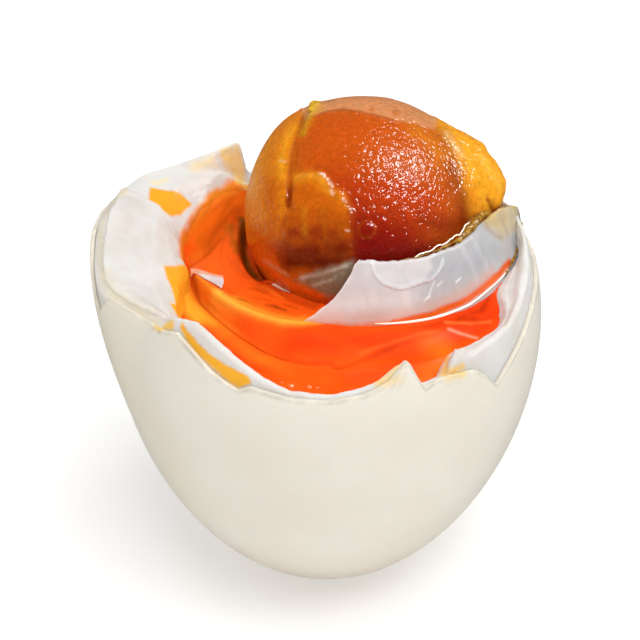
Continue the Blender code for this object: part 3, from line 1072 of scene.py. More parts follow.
    def wall_rings(self, azimuth: Array, top: Array, edge: Array) -> list[Array]:
        """The outer wall, from the bottom to where the rim rounds over, with close rings near the rim."""
        bottom = self.inset
        shares = (self.foot_share, *steps(11) ** self.wall_curve * self.wall_share)
        heights = [bottom + (top - bottom) * share for share in shares]
        heights += [top - below for below in self.close_rings]
        rings = [polar(azimuth, self.outside(azimuth, height, edge), height) for height in heights]
        return [polar(azimuth, np.zeros_like(azimuth), bottom), *rings]

    def seat_rings(self, last: Array) -> list[Array]:
        """The hollow's floor, from the last ring of its wall inward, and the seat under the yolk."""
        turn, reach = round_yolk(last)
        seat = Yolk.radius + self.seat_clearance
        rings = [polar(turn, reach + (self.seat_edge - reach) * share, self.basin_floor, Yolk.centre)
                 for share in steps(2)]
        for radius in self.seat_radii:
            height = Yolk.centre[2] - math.sqrt(seat**2 - radius**2)
            rings.append(polar(turn, np.full_like(turn, radius), height, Yolk.centre))
        return rings

    def sections(self) -> Array:
        """The whole cup: wall, rim, lip, ledge, hollow and floor."""
        azimuth = np.linspace(-180.0, 180.0, self.columns, endpoint=False)
        edge = around(self.edge, azimuth)
        rim_line = polar(azimuth, self.form.wall(azimuth, edge, self.inset), edge)
        edge = edge + self.tear.at(rim_line)
        lip = around(self.lip, azimuth, self.soften) * (1.0 + self.lip_waves.at(rim_line))
        top = edge - around(self.rounding, azimuth, self.soften)
        ledge = np.minimum(around(self.ledge, azimuth, self.soften), top - self.ledge_below_rim)
        inner = around(self.hollow_radius, azimuth, self.soften) + self.hollow_waves.at(rim_line)
        inner_height = np.minimum(around(self.hollow_height, azimuth, self.soften_hollow),
                                  ledge - self.hollow_below_ledge)
        rim = self.outside(azimuth, edge, edge)
        rings = self.wall_rings(azimuth, top, edge)
        for bend in steps(6) * math.pi / 2.0:
            height = top + (edge - top) * math.sin(bend)
            rings.append(polar(azimuth, rim - lip * (1.0 - math.cos(bend)) / 2.0, height))
        crest = rim - lip / 2.0
        widest = self.shoulder_limit * (rim - lip - inner)
        shoulder = np.minimum(around(self.shoulder, azimuth, self.soften), widest)
        shoulder = shoulder + lip / 2.0
        for share in steps(21):
            rings.append(polar(azimuth, crest - shoulder * share, edge + (ledge - edge) * smooth_step(share)))
        ledge_radius = crest - shoulder
        for share in steps(23):
            height = ledge + (inner_height - ledge) * share**self.ledge_curve
            rings.append(polar(azimuth, ledge_radius + (inner - ledge_radius) * share, height))
        for share in steps(11):
            height = inner_height + (self.basin_floor - inner_height) * share
            round_over = self.round_over * ((1.0 - share) ** 3 - 1.0)
            rings.append(polar(azimuth, inner - self.basin_slope * share + round_over, height))
        return np.stack(rings + self.seat_rings(rings[-1]))

    def crumple(self, piece: Piece) -> None:
        """Give the ledge and the rim soft folds and pits."""
        places = positions(piece)
        azimuth = np.degrees(np.arctan2(places[:, 1], places[:, 0]))
        depth = self.form.wall(azimuth, places[:, 2], 0.0) - np.hypot(places[:, 0], places[:, 1])
        inner = ease(depth, *self.folds_inside) * ease(places[:, 2], *self.folds_above)
        stretched = places * np.array([1.0, 1.0, 2.0])
        folds = self.folds.at(stretched) + self.pits.at(stretched)
        settle(piece, places + normals(piece) * (folds * inner)[:, None])

    def build(self) -> None:
        """Model and dress the white."""
        piece = raise_rings("torn_cooked_white", self.sections())
        self.crumple(piece)
        smooth_shade(piece)
        paint(piece, "F2EFEA", 0.0, self.stains_and_shade)
        hand_over(piece, self.finish.build(), Node.WHITE)


@dataclass
class Oil:
    """The orange oil in the hollow: a front pool, a rounded ridge along it, and creased skin by the yolk."""

    white: White
    finish: YolkOil
    columns: int = 640
    rings: int = 80
    front_level: float = 34.2
    inner_level: float = 35.4
    ridge_level: float = 36.0
    ridge_width: float = 2.4
    bottom: float = 32.6
    inner_radius: float = 11.6
    overlap: float = 0.3
    undercut: float = 0.6
    meniscus: float = 0.3
    meniscus_width: float = 0.35
    # The meniscus is lower where a bank rises, and the right is calmer, in the pool and at the ridge
    meniscus_fade: float = 1.5
    calm_pool: float = 0.35
    calm_ridge: float = 0.5
    bank_limit: float = 1.1
    crease_depth: float = 0.28
    crease_width: float = 0.42
    gap_depth: float = 1.4
    sharp_angle: float = math.radians(70.0)
    # The streaks are drawn out round the yolk: in the colour by a stretch, and in the relief as on
    # a ring of this radius
    stretch: float = 6.0
    drawn_radius: float = 4.0
    # Degrees over which the tables of the ridge, and of the bank, are averaged
    soften_ridge: float = 8.0
    soften_bank: float = 6.0
    # Where each feature sets in or ends, as a start and a width: in degrees round the yolk, or for
    # the gap and the skin beside the yolk, also in millimetres from its axis
    front_in: Span = (-175.0, 20.0)
    front_out: Span = (5.0, -20.0)
    calm: Span = (-80.0, 40.0)
    crease_in: Span = (-170.0, 6.0)
    crease_out: Span = (-88.0, -14.0)
    gap_back: Span = (110.0, 20.0)
    gap_left: Span = (-140.0, -20.0)
    gap_reach: Span = (13.6, -1.1)
    smooth_left: Span = (-62.0, 20.0)
    skin_in: Span = (-168.0, 14.0)
    skin_out: Span = (-100.0, -20.0)
    skin_reach: Span = (15.6, -2.0)
    streaks: Bumps = Bumps(1.4, 1.0, 41.0)
    streak_height: float = 0.03
    streak_height_right: float = 0.04
    skin: Bumps = Bumps(1.0, 0.16, 47.0)
    ridge_radius: Rows = (
        (-180, 19.0), (-159, 18.9), (-149, 18.35), (-133, 18.2), (-121, 17.7), (-112, 16.8), (-95, 16.1), (0, 15.8),
    )
    crease_radius: Rows = (
        (-180, 19.6), (-160, 19.4), (-150, 18.95), (-137, 19.05), (-125, 19.9), (-113, 20.7), (0, 20.7),
    )
    bank_rise: Rows = (
        (-180, 0.2), (-160, 0.1), (-150, 0.0), (90, 0.0), (134, 0.0), (141, 0.4), (148, 1.4), (156, 1.7), (164, 1.4),
        (169, 1.0), (174, 0.5),
    )
    bank_radius: Rows = (
        (-180, 15.6), (-173, 16.5), (-169, 17.6), (-164, 19.0), (-158, 21.0), (110, 14.4), (140, 13.6), (160, 13.9),
        (176, 15.1),
    )
    bank_width: Rows = ((-180, 3.8), (-160, 3.0), (90, 2.0), (140, 2.2), (150, 2.8), (157, 3.2), (164, 3.7))
    colours: tuple[Patch | Stroke, ...] = (
        # The bright floor at the upper left, and the bank behind it, stained darker orange and deeper still with
        # painted shade, then yellow up to the white
        Patch("FF6419", ((-14.2, -0.2), (-14.2, 1.2), (-12.4, 4.1), (-10.6, 8.4), (-9.2, 8.0), (-8.6, 1.4),
                         (-10.4, -1.4)), 0.9, 0.9),
        Patch("E2620E", ((-14.4, 0.6), (-13.3, 2.6), (-12.4, 4.1), (-11.1, 7.1), (-10.2, 10.0), (-6.0, 14.0),
                         (-8.0, 20.0), (-18.0, 12.0), (-18.0, 1.0)), 0.5, 1.0, 0.1),
        Stroke("C64A06", ((-12.6, 5.6), (-12.0, 7.6), (-10.8, 9.8), (-9.6, 11.6)), 0.7, 1.1, 0.85),
        Stroke("F28A22", ((-15.6, 1.6), (-15.9, 4.6), (-15.2, 7.2), (-13.8, 9.8), (-12.0, 12.4), (-10.0, 14.4)),
               0.35, 0.7, 0.9, 0.2),
        Stroke("F24A0C", ((-14.8, 1.6), (-15.0, 3.4), (-14.4, 5.0)), 0.5, 0.8, 0.8, 0.2),
        # Painted shade: a dark line along the fold at the bank's foot
        Stroke("B03E06", ((-14.3, 0.9), (-13.3, 2.6), (-12.4, 4.1), (-11.1, 7.1)), 0.1, 0.4, 0.8, 0.1),
        # The outer band: light orange at the left, where it climbs the white, deeper towards the front
        Stroke("FFAA2C", ((-16.1, -0.1), (-14.7, -2.9), (-13.4, -4.9), (-11.9, -7.4)), 1.2, 0.8, 0.95),
        Stroke("FF7A1C", ((-11.2, -8.6), (-8.8, -11.8), (-6.5, -14.6), (-4.2, -16.6)), 1.5, 1.4, 0.9),
        Stroke("F43C0A", ((-12.6, -7.8), (-11.2, -9.9), (-9.6, -12.1), (-7.6, -14.3), (-5.4, -16.2)), 0.7, 1.2, 0.9,
               0.4),
        Stroke("FC5A12", ((-4.2, -16.6), (-2.7, -16.6), (0.3, -16.9)), 1.6, 1.4, 0.9),
        Stroke("F64C0A", ((2.4, -16.6), (4.6, -16.0), (6.8, -14.4), (9.4, -12.4)), 1.3, 1.4, 0.9, 0.2),
        # The front, redder below the ridge
        Stroke("FF7E20", ((-13.3, -2.6), (-11.6, -5.4), (-9.6, -8.2)), 0.5, 0.8, 0.9),
        Stroke("FE5A14", ((-8.6, -9.4), (-6.8, -11.2), (-4.4, -12.0)), 0.7, 1.2, 0.9),
        Stroke("FD3C0C", ((-3.4, -11.6), (1.3, -12.0), (5.4, -11.9), (9.5, -10.2)), 1.0, 1.8, 0.9),
        Stroke("F8460C", ((-2.7, -10.0), (3.3, -10.6), (9.5, -9.0), (13.1, -6.6)), 0.6, 1.3, 0.8),
        # The ridge's upper edge: yellower oil, with a painted highlight along its crest
        Stroke("FD8E24", ((-13.4, -1.0), (-12.4, -2.6), (-11.0, -4.4)), 0.5, 0.7, 0.9, 0.05),
        Stroke("FFBC42", ((-11.3, -3.8), (-10.4, -4.9), (-9.1, -6.3), (-6.5, -8.0), (-4.4, -9.0),
                          (-2.5, -9.2), (-0.9, -9.0)), 0.45, 0.7, 1.0, 0.05),
        Stroke("FFA02C", ((-9.4, -4.6), (-7.6, -6.2), (-5.4, -7.6), (-3.3, -8.2), (-1.0, -8.2)), 0.5, 0.7, 0.9, 0.1),
        # Painted shade in the crease at the foot of the ridge, and the fainter dark line along the front
        Stroke("D84A08", ((-13.2, -2.8), (-11.4, -5.9), (-9.6, -8.4), (-7.8, -10.3), (-6.2, -12.0),
                          (-4.4, -13.1)), 0.15, 0.7, 0.5, 0.04),
        Stroke("7A1E04", ((-14.1, 0.3), (-13.0, -3.3), (-11.4, -5.9), (-9.6, -8.4), (-7.8, -10.3), (-6.2, -12.0),
                          (-4.4, -13.1)), 0.1, 0.3, 0.85, 0.04),
        Stroke("BE2C06", ((-4.4, -13.1), (-1.9, -13.7), (0.3, -13.9), (1.1, -14.6)), 0.08, 0.45, 0.85, 0.05),
        Stroke("CE2A05", ((1.1, -14.6), (3.3, -13.9), (5.9, -12.7), (8.4, -11.4), (11.5, -9.3), (13.6, -7.4),
                          (15.9, -4.7)), 0.1, 0.5, 0.85, 0.1),
        Stroke("FF8434", ((3.4, -13.0), (7.4, -11.6), (9.4, -10.7), (11.5, -10.0)), 0.06, 0.35, 0.6, 0.1),
        # The right end, with its thin dark and pale streaks
        Patch("EE3C0A", ((12.0, -6.8), (15.6, -3.0), (17.4, -3.0), (18.4, -6.6), (16.4, -9.8), (13.0, -11.4),
                         (10.6, -9.6)), 1.2, 0.9),
        Stroke("8E2005", ((13.4, -8.0), (15.7, -6.6), (16.5, -4.8), (16.9, -3.2)), 0.08, 0.6, 0.85, 0.2),
        Stroke("A82806", ((9.8, -9.8), (12.6, -8.6), (15.0, -7.8)), 0.06, 0.4, 0.75, 0.15),
        Stroke("B42A06", ((10.6, -8.0), (13.0, -7.0), (15.4, -5.0)), 0.06, 0.4, 0.7, 0.15),
        Stroke("FF9A4A", ((12.0, -8.9), (14.6, -8.6), (16.6, -7.8)), 0.05, 0.35, 0.6, 0.15),
        # Painted highlight: a pale streak on the oil
        Stroke("FFB892", ((12.4, -9.7), (13.7, -9.95), (15.2, -10.2)), 0.09, 0.28, 0.9, 0.05),
        Stroke("FF7412", ((10.4, -11.8), (12.3, -12.4), (11.9, -14.0), (10.9, -15.0), (9.8, -16.4)), 0.7, 1.4, 0.85,
               0.2),
        # By the yolk: painted shade in the gap, olive and dark brown, then the thicker oil's brown wrinkles
        Stroke("9A5E12", ((-10.2, 9.2), (-9.9, 6.7), (-9.4, 4.5)), 0.35, 0.8, 0.75),
        Stroke("724008", ((-9.0, 10.6), (-8.9, 6.4), (-8.5, 3.9), (-7.6, 1.8), (-6.8, 0.6)), 0.45, 0.35, 0.95, 0.1),
        Stroke("C43A08", ((-7.6, 0.6), (-6.6, -1.6), (-5.0, -3.3), (-3.0, -4.8), (-1.4, -5.4)), 0.7, 0.9, 0.75, 0.3),
        Stroke("FF7A1E", ((-7.8, -1.0), (-6.2, -2.6), (-4.4, -4.3)), 0.06, 0.3, 0.7, 0.2),
        Stroke("8A3008", ((-8.0, -2.5), (-7.3, -2.6), (-6.5, -3.1)), 0.1, 0.55, 0.7, 0.3),
        Stroke("7A3A08", ((-6.2, -5.4), (-5.3, -5.7), (-4.3, -6.3)), 0.08, 0.35, 0.9, 0.3),
        Stroke("A23408", ((-10.6, -4.2), (-9.6, -4.4), (-8.4, -4.8), (-7.2, -5.6)), 0.05, 0.3, 0.75, 0.2),
        Stroke("B43C08", ((-7.6, -4.0), (-6.2, -4.4), (-4.6, -5.2), (-3.0, -6.2)), 0.04, 0.3, 0.6, 0.25),
        Stroke("8E2606", ((-6.0, -1.5), (-4.7, -2.5), (-3.4, -3.2)), 0.2, 0.35, 0.8, 0.05),
        # Painted highlight: a pale spindle on the oil
        Stroke("FFE4D4", ((-5.5, -1.7), (-4.6, -2.4), (-3.8, -2.9)), 0.14, 0.14, 1.0, 0.03),
    )

    def level(self, azimuth: Array, radius: Array) -> Array:
        """Height of the oil at azimuths and radii round the yolk."""
        ridge = around(self.ridge_radius, azimuth, self.soften_ridge)
        crease = around(self.crease_radius, azimuth, self.soften_ridge)
        front = ease(azimuth, *self.front_in) * ease(azimuth, *self.front_out)
        calm = ease(azimuth, *self.calm)
        drop, climb = self.front_level - self.inner_level, self.ridge_level - self.inner_level
        outer = self.inner_level + drop * front * (1.0 - self.calm_pool * calm)
        crest = self.inner_level + climb * front * (1.0 - self.calm_ridge * calm)
        outside = crest + (outer - crest) * smooth_step((radius - ridge) / (crease - ridge))
        within = crest + (self.inner_level - crest) * ease(radius, ridge, -self.ridge_width)
        bank = radius - around(self.bank_radius, azimuth, self.soften_bank)
        bank = np.clip(bank / around(self.bank_width, azimuth, self.soften_bank), 0.0, self.bank_limit)
        rise = around(self.bank_rise, azimuth, self.soften_bank) * bank
        return np.where(radius > ridge, outside, within) + rise

    def relief(self, azimuth: Array, radius: Array) -> Array:
        """The crease, the gap at the yolk's left, the drawn streaks and the wrinkled skin by the yolk."""
        crease = hump(radius - around(self.crease_radius, azimuth, self.soften_ridge), self.crease_width)
        left = ease(azimuth, *self.crease_in) * ease(azimuth, *self.crease_out)
        relief = -self.crease_depth * crease * left
        beside = ease(azimuth, *self.gap_back) + ease(azimuth, *self.gap_left)
        relief -= self.gap_depth * ease(radius, *self.gap_reach) * beside
        drawn = polar(azimuth, np.full_like(azimuth, self.drawn_radius), radius)
        right = ease(azimuth, *self.smooth_left)
        relief += self.streaks.at(drawn) * (self.streak_height + self.streak_height_right * right)
        near = ease(azimuth, *self.skin_in) * ease(azimuth, *self.skin_out) * ease(radius, *self.skin_reach)
        return relief + self.skin.at(drawn) * near

    def sections(self) -> Array:
        """The ring of oil: its top from the yolk to the wall, and its underside back to the yolk."""
        azimuth = np.linspace(-180.0, 180.0, self.columns, endpoint=False)
        guess = np.full_like(azimuth, self.inner_level)
        for _ in range(3):
            turn, wall = round_yolk(polar(azimuth, self.white.hollow_wall(azimuth, guess), guess))
            guess = self.level(turn, wall)
        reach = wall + self.overlap
        low = np.clip(1.0 - self.meniscus_fade * around(self.bank_rise, turn, self.soften_bank), 0.0, 1.0)
        rings = []
        for share in np.linspace(0.0, 1.0, self.rings):
            radius = self.inner_radius + (reach - self.inner_radius) * share
            climb = low * self.meniscus * np.exp(-(wall - radius).clip(0.0) / self.meniscus_width)
            height = self.level(turn, radius) + self.relief(turn, radius) + climb
            rings.append(polar(turn, radius, height, Yolk.centre))
        for radius in (reach - self.undercut, np.full_like(turn, self.inner_radius - self.undercut)):
            rings.append(polar(turn, radius, self.bottom, Yolk.centre))
        rings.append(rings[0])
        return np.stack(rings)

    def surface(self, points: Array) -> Array:
        """Height of the oil at places given as x and y."""
        return self.level(*round_yolk(points))

    def build(self) -> None:
        """Model and dress the oil."""
        piece = raise_rings("pool_of_yolk_oil", self.sections())
        smooth_shade(piece, self.sharp_angle)
        paint(piece, "FC5C14", 1.0, self.colours)
        lay_flow(piece, self.stretch)
        hand_over(piece, self.finish.build(), Node.OIL)


@dataclass
class Yolk:
    """The ball of salted yolk, half lifted out, with its lump, creases and patches."""

    finish: SaltedYolk
    centre: ClassVar[Point] = (4.0, 6.0, 38.9)
    radius: ClassVar[float] = 12.55
    subdivisions: int = 7
    swelling_rise: float = 0.2
    swellings: tuple[tuple[Point, float, float], ...] = (
        ((0.95, 0.10, 0.27), 2.5, 42.0),
        ((-0.62, 0.35, 0.70), 0.5, 36.0),
        ((-0.75, -0.60, 0.10), 0.4, 40.0),
    )
    bubbles: tuple[tuple[Point, float, float], ...] = (
        ((0.01, -0.89, 0.45), 0.85, 0.26),
        ((-0.05, -0.93, 0.37), 0.4, 0.12),
        ((0.09, -0.94, 0.33), 0.45, 0.14),
        ((0.2, -0.9, 0.38), 0.35, 0.1),
        ((0.14, -0.86, 0.5), 0.3, 0.1),
    )
    # The ring round each bubble, its place and its width in the bubble's own radii
    ring_depth: float = 0.05
    ring_reach: float = 1.1
    ring_width: float = 0.2
    # Lines and outlines on the front plane
    crease: ClassVar[Rows] = (
        (-2.4, 45.5), (-2.95, 43.6), (-3.4, 42.0), (-3.65, 40.7), (-3.8, 39.2), (-3.85, 37.8), (-3.95, 36.0),
    )
    left_lobe: ClassVar[Rows] = (
        (-2.2, 46.2), (-2.85, 43.6), (-3.3, 42.0), (-3.55, 40.7), (-3.7, 39.2), (-3.8, 37.0), (-4.1, 35.2),
        (-5.2, 33.4), (-7.4, 32.2), (-12.0, 31.0), (-13.0, 38.0), (-10.0, 44.0), (-5.0, 48.0),
    )
    patch: ClassVar[Rows] = (
        (-3.7, 38.9), (-2.1, 39.35), (-0.7, 39.5), (0.0, 38.7), (0.5, 37.4), (1.5, 37.3), (2.1, 36.1),
        (2.5, 35.1), (2.3, 33.2), (2.4, 31.2), (1.3, 29.6), (-0.9, 29.2), (-2.8, 29.5), (-4.2, 30.5),
        (-4.4, 32.5), (-4.1, 35.1), (-3.8, 36.3),
    )
    patch_edge: ClassVar[Rows] = (
        (-3.4, 39.1), (-2.1, 39.35), (-0.7, 39.5), (0.0, 38.7), (0.5, 37.4), (1.5, 37.3), (2.1, 36.1),
        (2.5, 35.1), (2.3, 33.2), (2.4, 31.8),
    )
    lump: ClassVar[Rows] = (
        (11.3, 45.4), (12.6, 43.3), (13.4, 41.3), (14.1, 39.1), (14.7, 36.7), (15.2, 34.6), (17.0, 34.0),
        (21.0, 34.0), (22.0, 42.0), (14.0, 48.0),
    )
    cap: ClassVar[Rows] = (
        (-3.2, 47.4), (-2.3, 45.0), (-1.5, 45.35), (-0.2, 45.8), (1.7, 46.1), (3.6, 45.75), (5.3, 45.3),
        (6.9, 44.8), (9.0, 44.6), (11.0, 44.0), (12.0, 46.4), (6.0, 50.0), (0.0, 50.0),
    )
    cap_line: ClassVar[Rows] = (
        (-2.3, 44.9), (-1.5, 45.3), (-0.2, 45.8), (1.7, 46.1), (3.6, 45.7), (5.3, 45.3), (6.9, 44.8),
    )
    smear: ClassVar[Rows] = ((-0.9, 46.7), (-1.4, 46.0), (-1.8, 45.3), (-2.3, 44.5))
    pinch: ClassVar[Rows] = ((16.5, 37.0), (16.9, 36.2), (17.0, 35.6))
    # The lobe, the veil and the flap stand proud, the crease and the pinch sink in, and the smear
    # and the patch's torn edge are beaded
    rises: ClassVar[tuple[Rise, ...]] = (
        Rise(left_lobe, 0.4, 0.26, True), Rise(cap, 0.5, 0.08, True), Rise(lump, 2.0, 0.3, True),
        Rise(crease, 0.26, -0.3), Rise(crease, 0.9, -0.2), Rise(pinch, 0.28, -0.4),
        Rise(smear, 0.55, 0.22, bumps=Bumps(0.9, 0.3, 57.0, 2)),
        Rise(patch_edge, 0.3, 0.08, bumps=Bumps(0.5, 0.14, 59.0, 2)),
    )
    patch_rise: ClassVar[Rise] = Rise(patch, 0.3, 0.24, True)
    # Where the patch's lower part sinks to the ball, and how far round to the side the front reaches
    patch_low: Span = (31.0, 3.0)
    front: Span = (-0.1, 0.3)
    # The lump is the first swelling: where it is coarser, and how much coarser and lower it is there
    lumpy: Span = (0.82, 0.1)
    grain: Bumps = Bumps(2.6, 1.0, 53.0)
    grain_height: float = 0.07
    grain_height_lump: float = 0.35
    sink: float = 0.08
    sink_lump: float = 0.2
    colours: tuple[Patch | Stroke, ...] = (
        # The back and the sides: ochre, with the yellow lump on the right
        Stroke("D9830F", ((-0.9, 0.3, 0.3), (-0.95, -0.3, 0.1)), 0.45, 0.5, 0.9, 0.1, Plane.BALL),
        Stroke("D07A14", ((-0.5, 0.8, 0.2), (0.5, 0.85, 0.2)), 0.35, 0.5, 0.7, 0.2, Plane.BALL),
        Stroke("F4A01C", ((0.98, 0.1, 0.2), (0.9, 0.3, 0.4), (0.72, 0.4, 0.6)), 0.3, 0.25, 0.95, 0.1, Plane.BALL),
        # The front: orange brown above, ochre to the right, red below
        Patch("C95208", ((-3.0, 45.4), (1.3, 46.0), (4.6, 45.6), (7.5, 44.6), (9.6, 42.7), (5.9, 40.6), (1.8, 39.6),
                         (-2.6, 39.6)), 1.8, 0.9, 0.3),
        Stroke("8E3C04", ((12.4, 43.4), (13.0, 41.6), (13.6, 39.6), (14.2, 37.0), (14.4, 35.2)), 1.1, 1.6, 0.9, 0.3),
        Stroke("DE7C12", ((9.2, 43.8), (10.8, 42.8), (11.8, 41.2)), 0.7, 1.3, 0.85, 0.3),
        Patch("B43004", ((-0.4, 39.6), (3.6, 39.8), (8.0, 39.2), (11.6, 37.4), (12.2, 34.2), (8.4, 32.0),
                         (1.8, 34.0)), 2.4, 0.85, 0.4),
        Patch("8E1203", ((2.0, 36.0), (4.5, 35.4), (6.8, 34.6), (9.4, 33.2), (11.6, 32.2), (12.6, 30.4), (8.4, 28.0),
                         (2.0, 28.0)), 1.8, 0.9, 0.5),
        Patch("7E0803", ((2.4, 33.8), (5.2, 33.2), (8.2, 32.0), (9.8, 31.2), (9.4, 29.0), (2.4, 28.6)), 1.4, 0.85, 0.5),
        Stroke("8E2803", ((9.8, 34.4), (12.0, 33.8), (13.6, 34.4)), 0.7, 1.3, 0.85, 0.4),
        # Low at the left, redder down to the oil
        Stroke("DA5C08", ((-9.5, 33.4), (-7.6, 32.2), (-6.4, 31.0), (-5.2, 30.0)), 0.9, 1.2, 0.9, 0.3),
        # The left lobe, paler in places, with a painted highlight along its raised right edge
        Patch("DE7E10", left_lobe, 0.25, 0.95, 0.1),
        Stroke("C05806", ((-5.6, 38.2), (-5.8, 36.2), (-5.4, 34.4), (-7.4, 33.2)), 0.7, 1.3, 0.85, 0.4),
        Stroke("F0A01E", ((-3.4, 44.4), (-4.2, 42.9), (-4.6, 41.0), (-4.6, 39.2)), 0.3, 0.6, 0.8, 0.2),
        Stroke("E8961E", ((-6.4, 43.2), (-7.4, 40.6), (-8.0, 37.6)), 0.5, 1.0, 0.7, 0.3),
        Stroke("B04206", ((-5.8, 32.0), (-4.6, 31.8)), 0.6, 1.0, 0.7, 0.4),
        # The patch at the lower left: crisp and pale above, fading to the right, browner down to its foot, which
        # painted shade darkens
        Patch("CA6006", patch, 0.4, 0.95, 0.15),
        Stroke("E68C12", ((-3.2, 38.8), (-1.8, 38.9), (-0.8, 38.8), (-0.3, 38.0)), 0.4, 0.8, 0.9, 0.2),
        Stroke("D87C0E", ((0.4, 37.4), (1.4, 36.8), (1.9, 35.8)), 0.3, 0.7, 0.9, 0.2),
        Stroke("AE4A04", ((-3.8, 34.6), (-1.7, 34.7), (-0.2, 34.8)), 0.5, 1.0, 0.85, 0.4),
        Stroke("922E03", ((-3.8, 33.2), (-1.7, 33.3), (0.8, 33.3)), 0.6, 1.0, 0.95, 0.4),
        Stroke("AE5206", ((1.5, 35.0), (1.6, 33.0), (1.7, 31.8)), 0.3, 0.7, 0.85, 0.3),
        Stroke("A03406", ((2.5, 34.8), (2.6, 33.4), (2.6, 32.0)), 0.15, 0.8, 0.75, 0.4),
        Stroke("D08812", ((-2.3, 35.6), (-2.4, 34.4), (-2.2, 33.2)), 0.15, 0.5, 0.7, 0.3),
        Stroke("B86A0A", ((-0.4, 35.4), (-0.2, 34.0), (-0.1, 32.6)), 0.1, 0.5, 0.6, 0.3),
        Stroke("EBA634", ((-3.2, 38.9), (-1.9, 39.1), (-0.8, 39.1), (-0.3, 38.3), (0.2, 37.2)), 0.1, 0.3, 0.7, 0.06),
        Stroke("741802", ((-4.2, 31.4), (-1.7, 31.5), (1.6, 31.6)), 0.8, 1.2, 0.95, 0.4),
        Stroke("5A0C02", ((-3.8, 30.2), (-1.7, 30.2), (1.2, 30.4)), 0.9, 1.0, 0.95, 0.4),
        # Wet glints along the patch's torn edge
        *(Stroke(colour, path, width, 0.12, strength, 0.1) for colour, path, width, strength in (
            ("FFF4E2", ((-0.7, 39.25), (-0.4, 39.15), (-0.2, 38.9)), 0.05, 0.95),
            ("FFF4E2", ((0.1, 38.65), (0.35, 38.3), (0.5, 37.9)), 0.05, 0.95),
            ("FFF4E2", ((0.5, 37.5), (0.62, 37.1)), 0.04, 0.9),
            ("FFF4E2", ((1.6, 36.6), (1.85, 36.3)), 0.05, 0.95),
            ("FFF4E2", ((2.2, 35.8), (2.5, 35.5)), 0.05, 0.95),
            ("FFE9CC", ((1.9, 33.5), (2.2, 33.35)), 0.05, 0.9),
            ("FFE9CC", ((-4.9, 40.75), (-4.3, 40.6)), 0.03, 0.8),
        )),
        # The thin grey film over the foot, with white strands, and the oil's orange edge below it
        Patch("8E836A", ((-3.3, 28.5), (-2.8, 29.0), (-0.9, 29.4), (0.0, 29.8), (2.7, 30.4), (3.2, 28.8),
                         (2.2, 27.4), (0.3, 26.6), (-1.0, 27.3), (-2.8, 28.0)), 0.35, 0.9, 0.3),
        Stroke("DAD3C6", ((-2.6, 28.7), (-0.9, 29.0), (0.9, 29.5), (2.5, 30.1)), 0.07, 0.22, 0.85, 0.2),
        Stroke("CFC8BA", ((-1.4, 27.9), (0.3, 28.4), (1.7, 29.2)), 0.06, 0.25, 0.8, 0.2),
        Stroke("5C4A2A", ((-2.0, 28.4), (-0.4, 28.6), (1.4, 28.9)), 0.04, 0.25, 0.7, 0.25),
        # Painted highlight: a pale streak low on the yolk's left
        Stroke("C79A72", ((-6.5, 30.5), (-5.3, 29.7), (-4.0, 29.0)), 0.1, 0.3, 0.7, 0.1),
        Stroke("EC6414", ((-8.2, 32.2), (-7.4, 30.7), (-6.1, 29.6), (-3.8, 28.1), (-2.1, 27.4), (-0.5, 26.8)),
               0.2, 0.35, 0.9, 0.15),
        # The yellow lump, reddish at its foot, with a painted highlight as a pale spot and painted shade in its pinch
        Patch("F9A61E", lump, 1.1, 1.0, 0.3),
        Stroke("EE8C18", ((14.5, 38.6), (15.0, 36.8), (15.7, 35.6)), 0.25, 0.9, 0.8, 0.2),
        Stroke("F1BE78", ((12.4, 43.6), (13.2, 42.2), (13.9, 41.3)), 0.2, 0.6, 0.8, 0.2),
        Stroke("FFC24A", ((15.9, 41.2), (17.2, 39.6), (17.9, 38.2)), 0.2, 0.7, 0.7, 0.2),
        Stroke("7A1A06", ((16.6, 36.8), (16.9, 36.2), (17.0, 35.8)), 0.13, 0.25, 0.95, 0.08),
        Stroke("7A2004", ((15.2, 35.1), (15.35, 34.7)), 0.12, 0.22, 0.9, 0.06),
        # The pale veil over the top, with two darker spots, and the thin line along its edge
        Patch("D8905C", cap, 0.3, 0.9, 0.1),
        Stroke("C0631E", ((4.6, 46.1), (4.7, 46.0)), 0.2, 0.3, 0.8, 0.15),
        Stroke("C0631E", ((7.0, 45.7), (7.2, 45.7)), 0.3, 0.4, 0.8, 0.15),
        Stroke("8E3A0A", cap_line, 0.05, 0.2, 0.85, 0.05),
        # A smear of olive yellow at the top of the crease
        Stroke("D3A41E", ((-0.9, 46.7), (-1.4, 46.0), (-1.8, 45.3), (-2.3, 44.5), (-2.6, 43.6)), 0.3, 0.6, 0.85, 0.3),
        # Painted shade in the crease, darkest at its red notch, and faint furrows that run down to the white
        Stroke("8A1E02", crease, 0.12, 0.44, 0.95, 0.06),
        Stroke("7C0C02", ((-3.85, 37.6), (-3.9, 36.9), (-4.0, 36.0)), 0.18, 0.34, 1.0, 0.06),
        Stroke("7E1E06", ((6.0, 36.0), (7.2, 34.0), (8.6, 32.0), (9.5, 30.9)), 0.05, 0.3, 0.6, 0.15),
        Stroke("7E1E06", ((7.4, 35.5), (8.6, 33.5), (9.9, 31.7)), 0.04, 0.3, 0.5, 0.15),
        Stroke("5E0C04", ((9.2, 31.3), (9.9, 30.6)), 0.15, 0.4, 0.8, 0.15),
        Stroke("C2560E", ((4.9, 33.55), (4.79, 33.98), (4.48, 34.29), (4.05, 34.4), (3.62, 34.29), (3.31, 33.98),
                          (3.2, 33.55), (3.31, 33.12), (3.62, 32.81), (4.05, 32.7), (4.48, 32.81), (4.79, 33.12),
                          (4.9, 33.55)), 0.05, 0.24, 0.6, 0.05),
    )

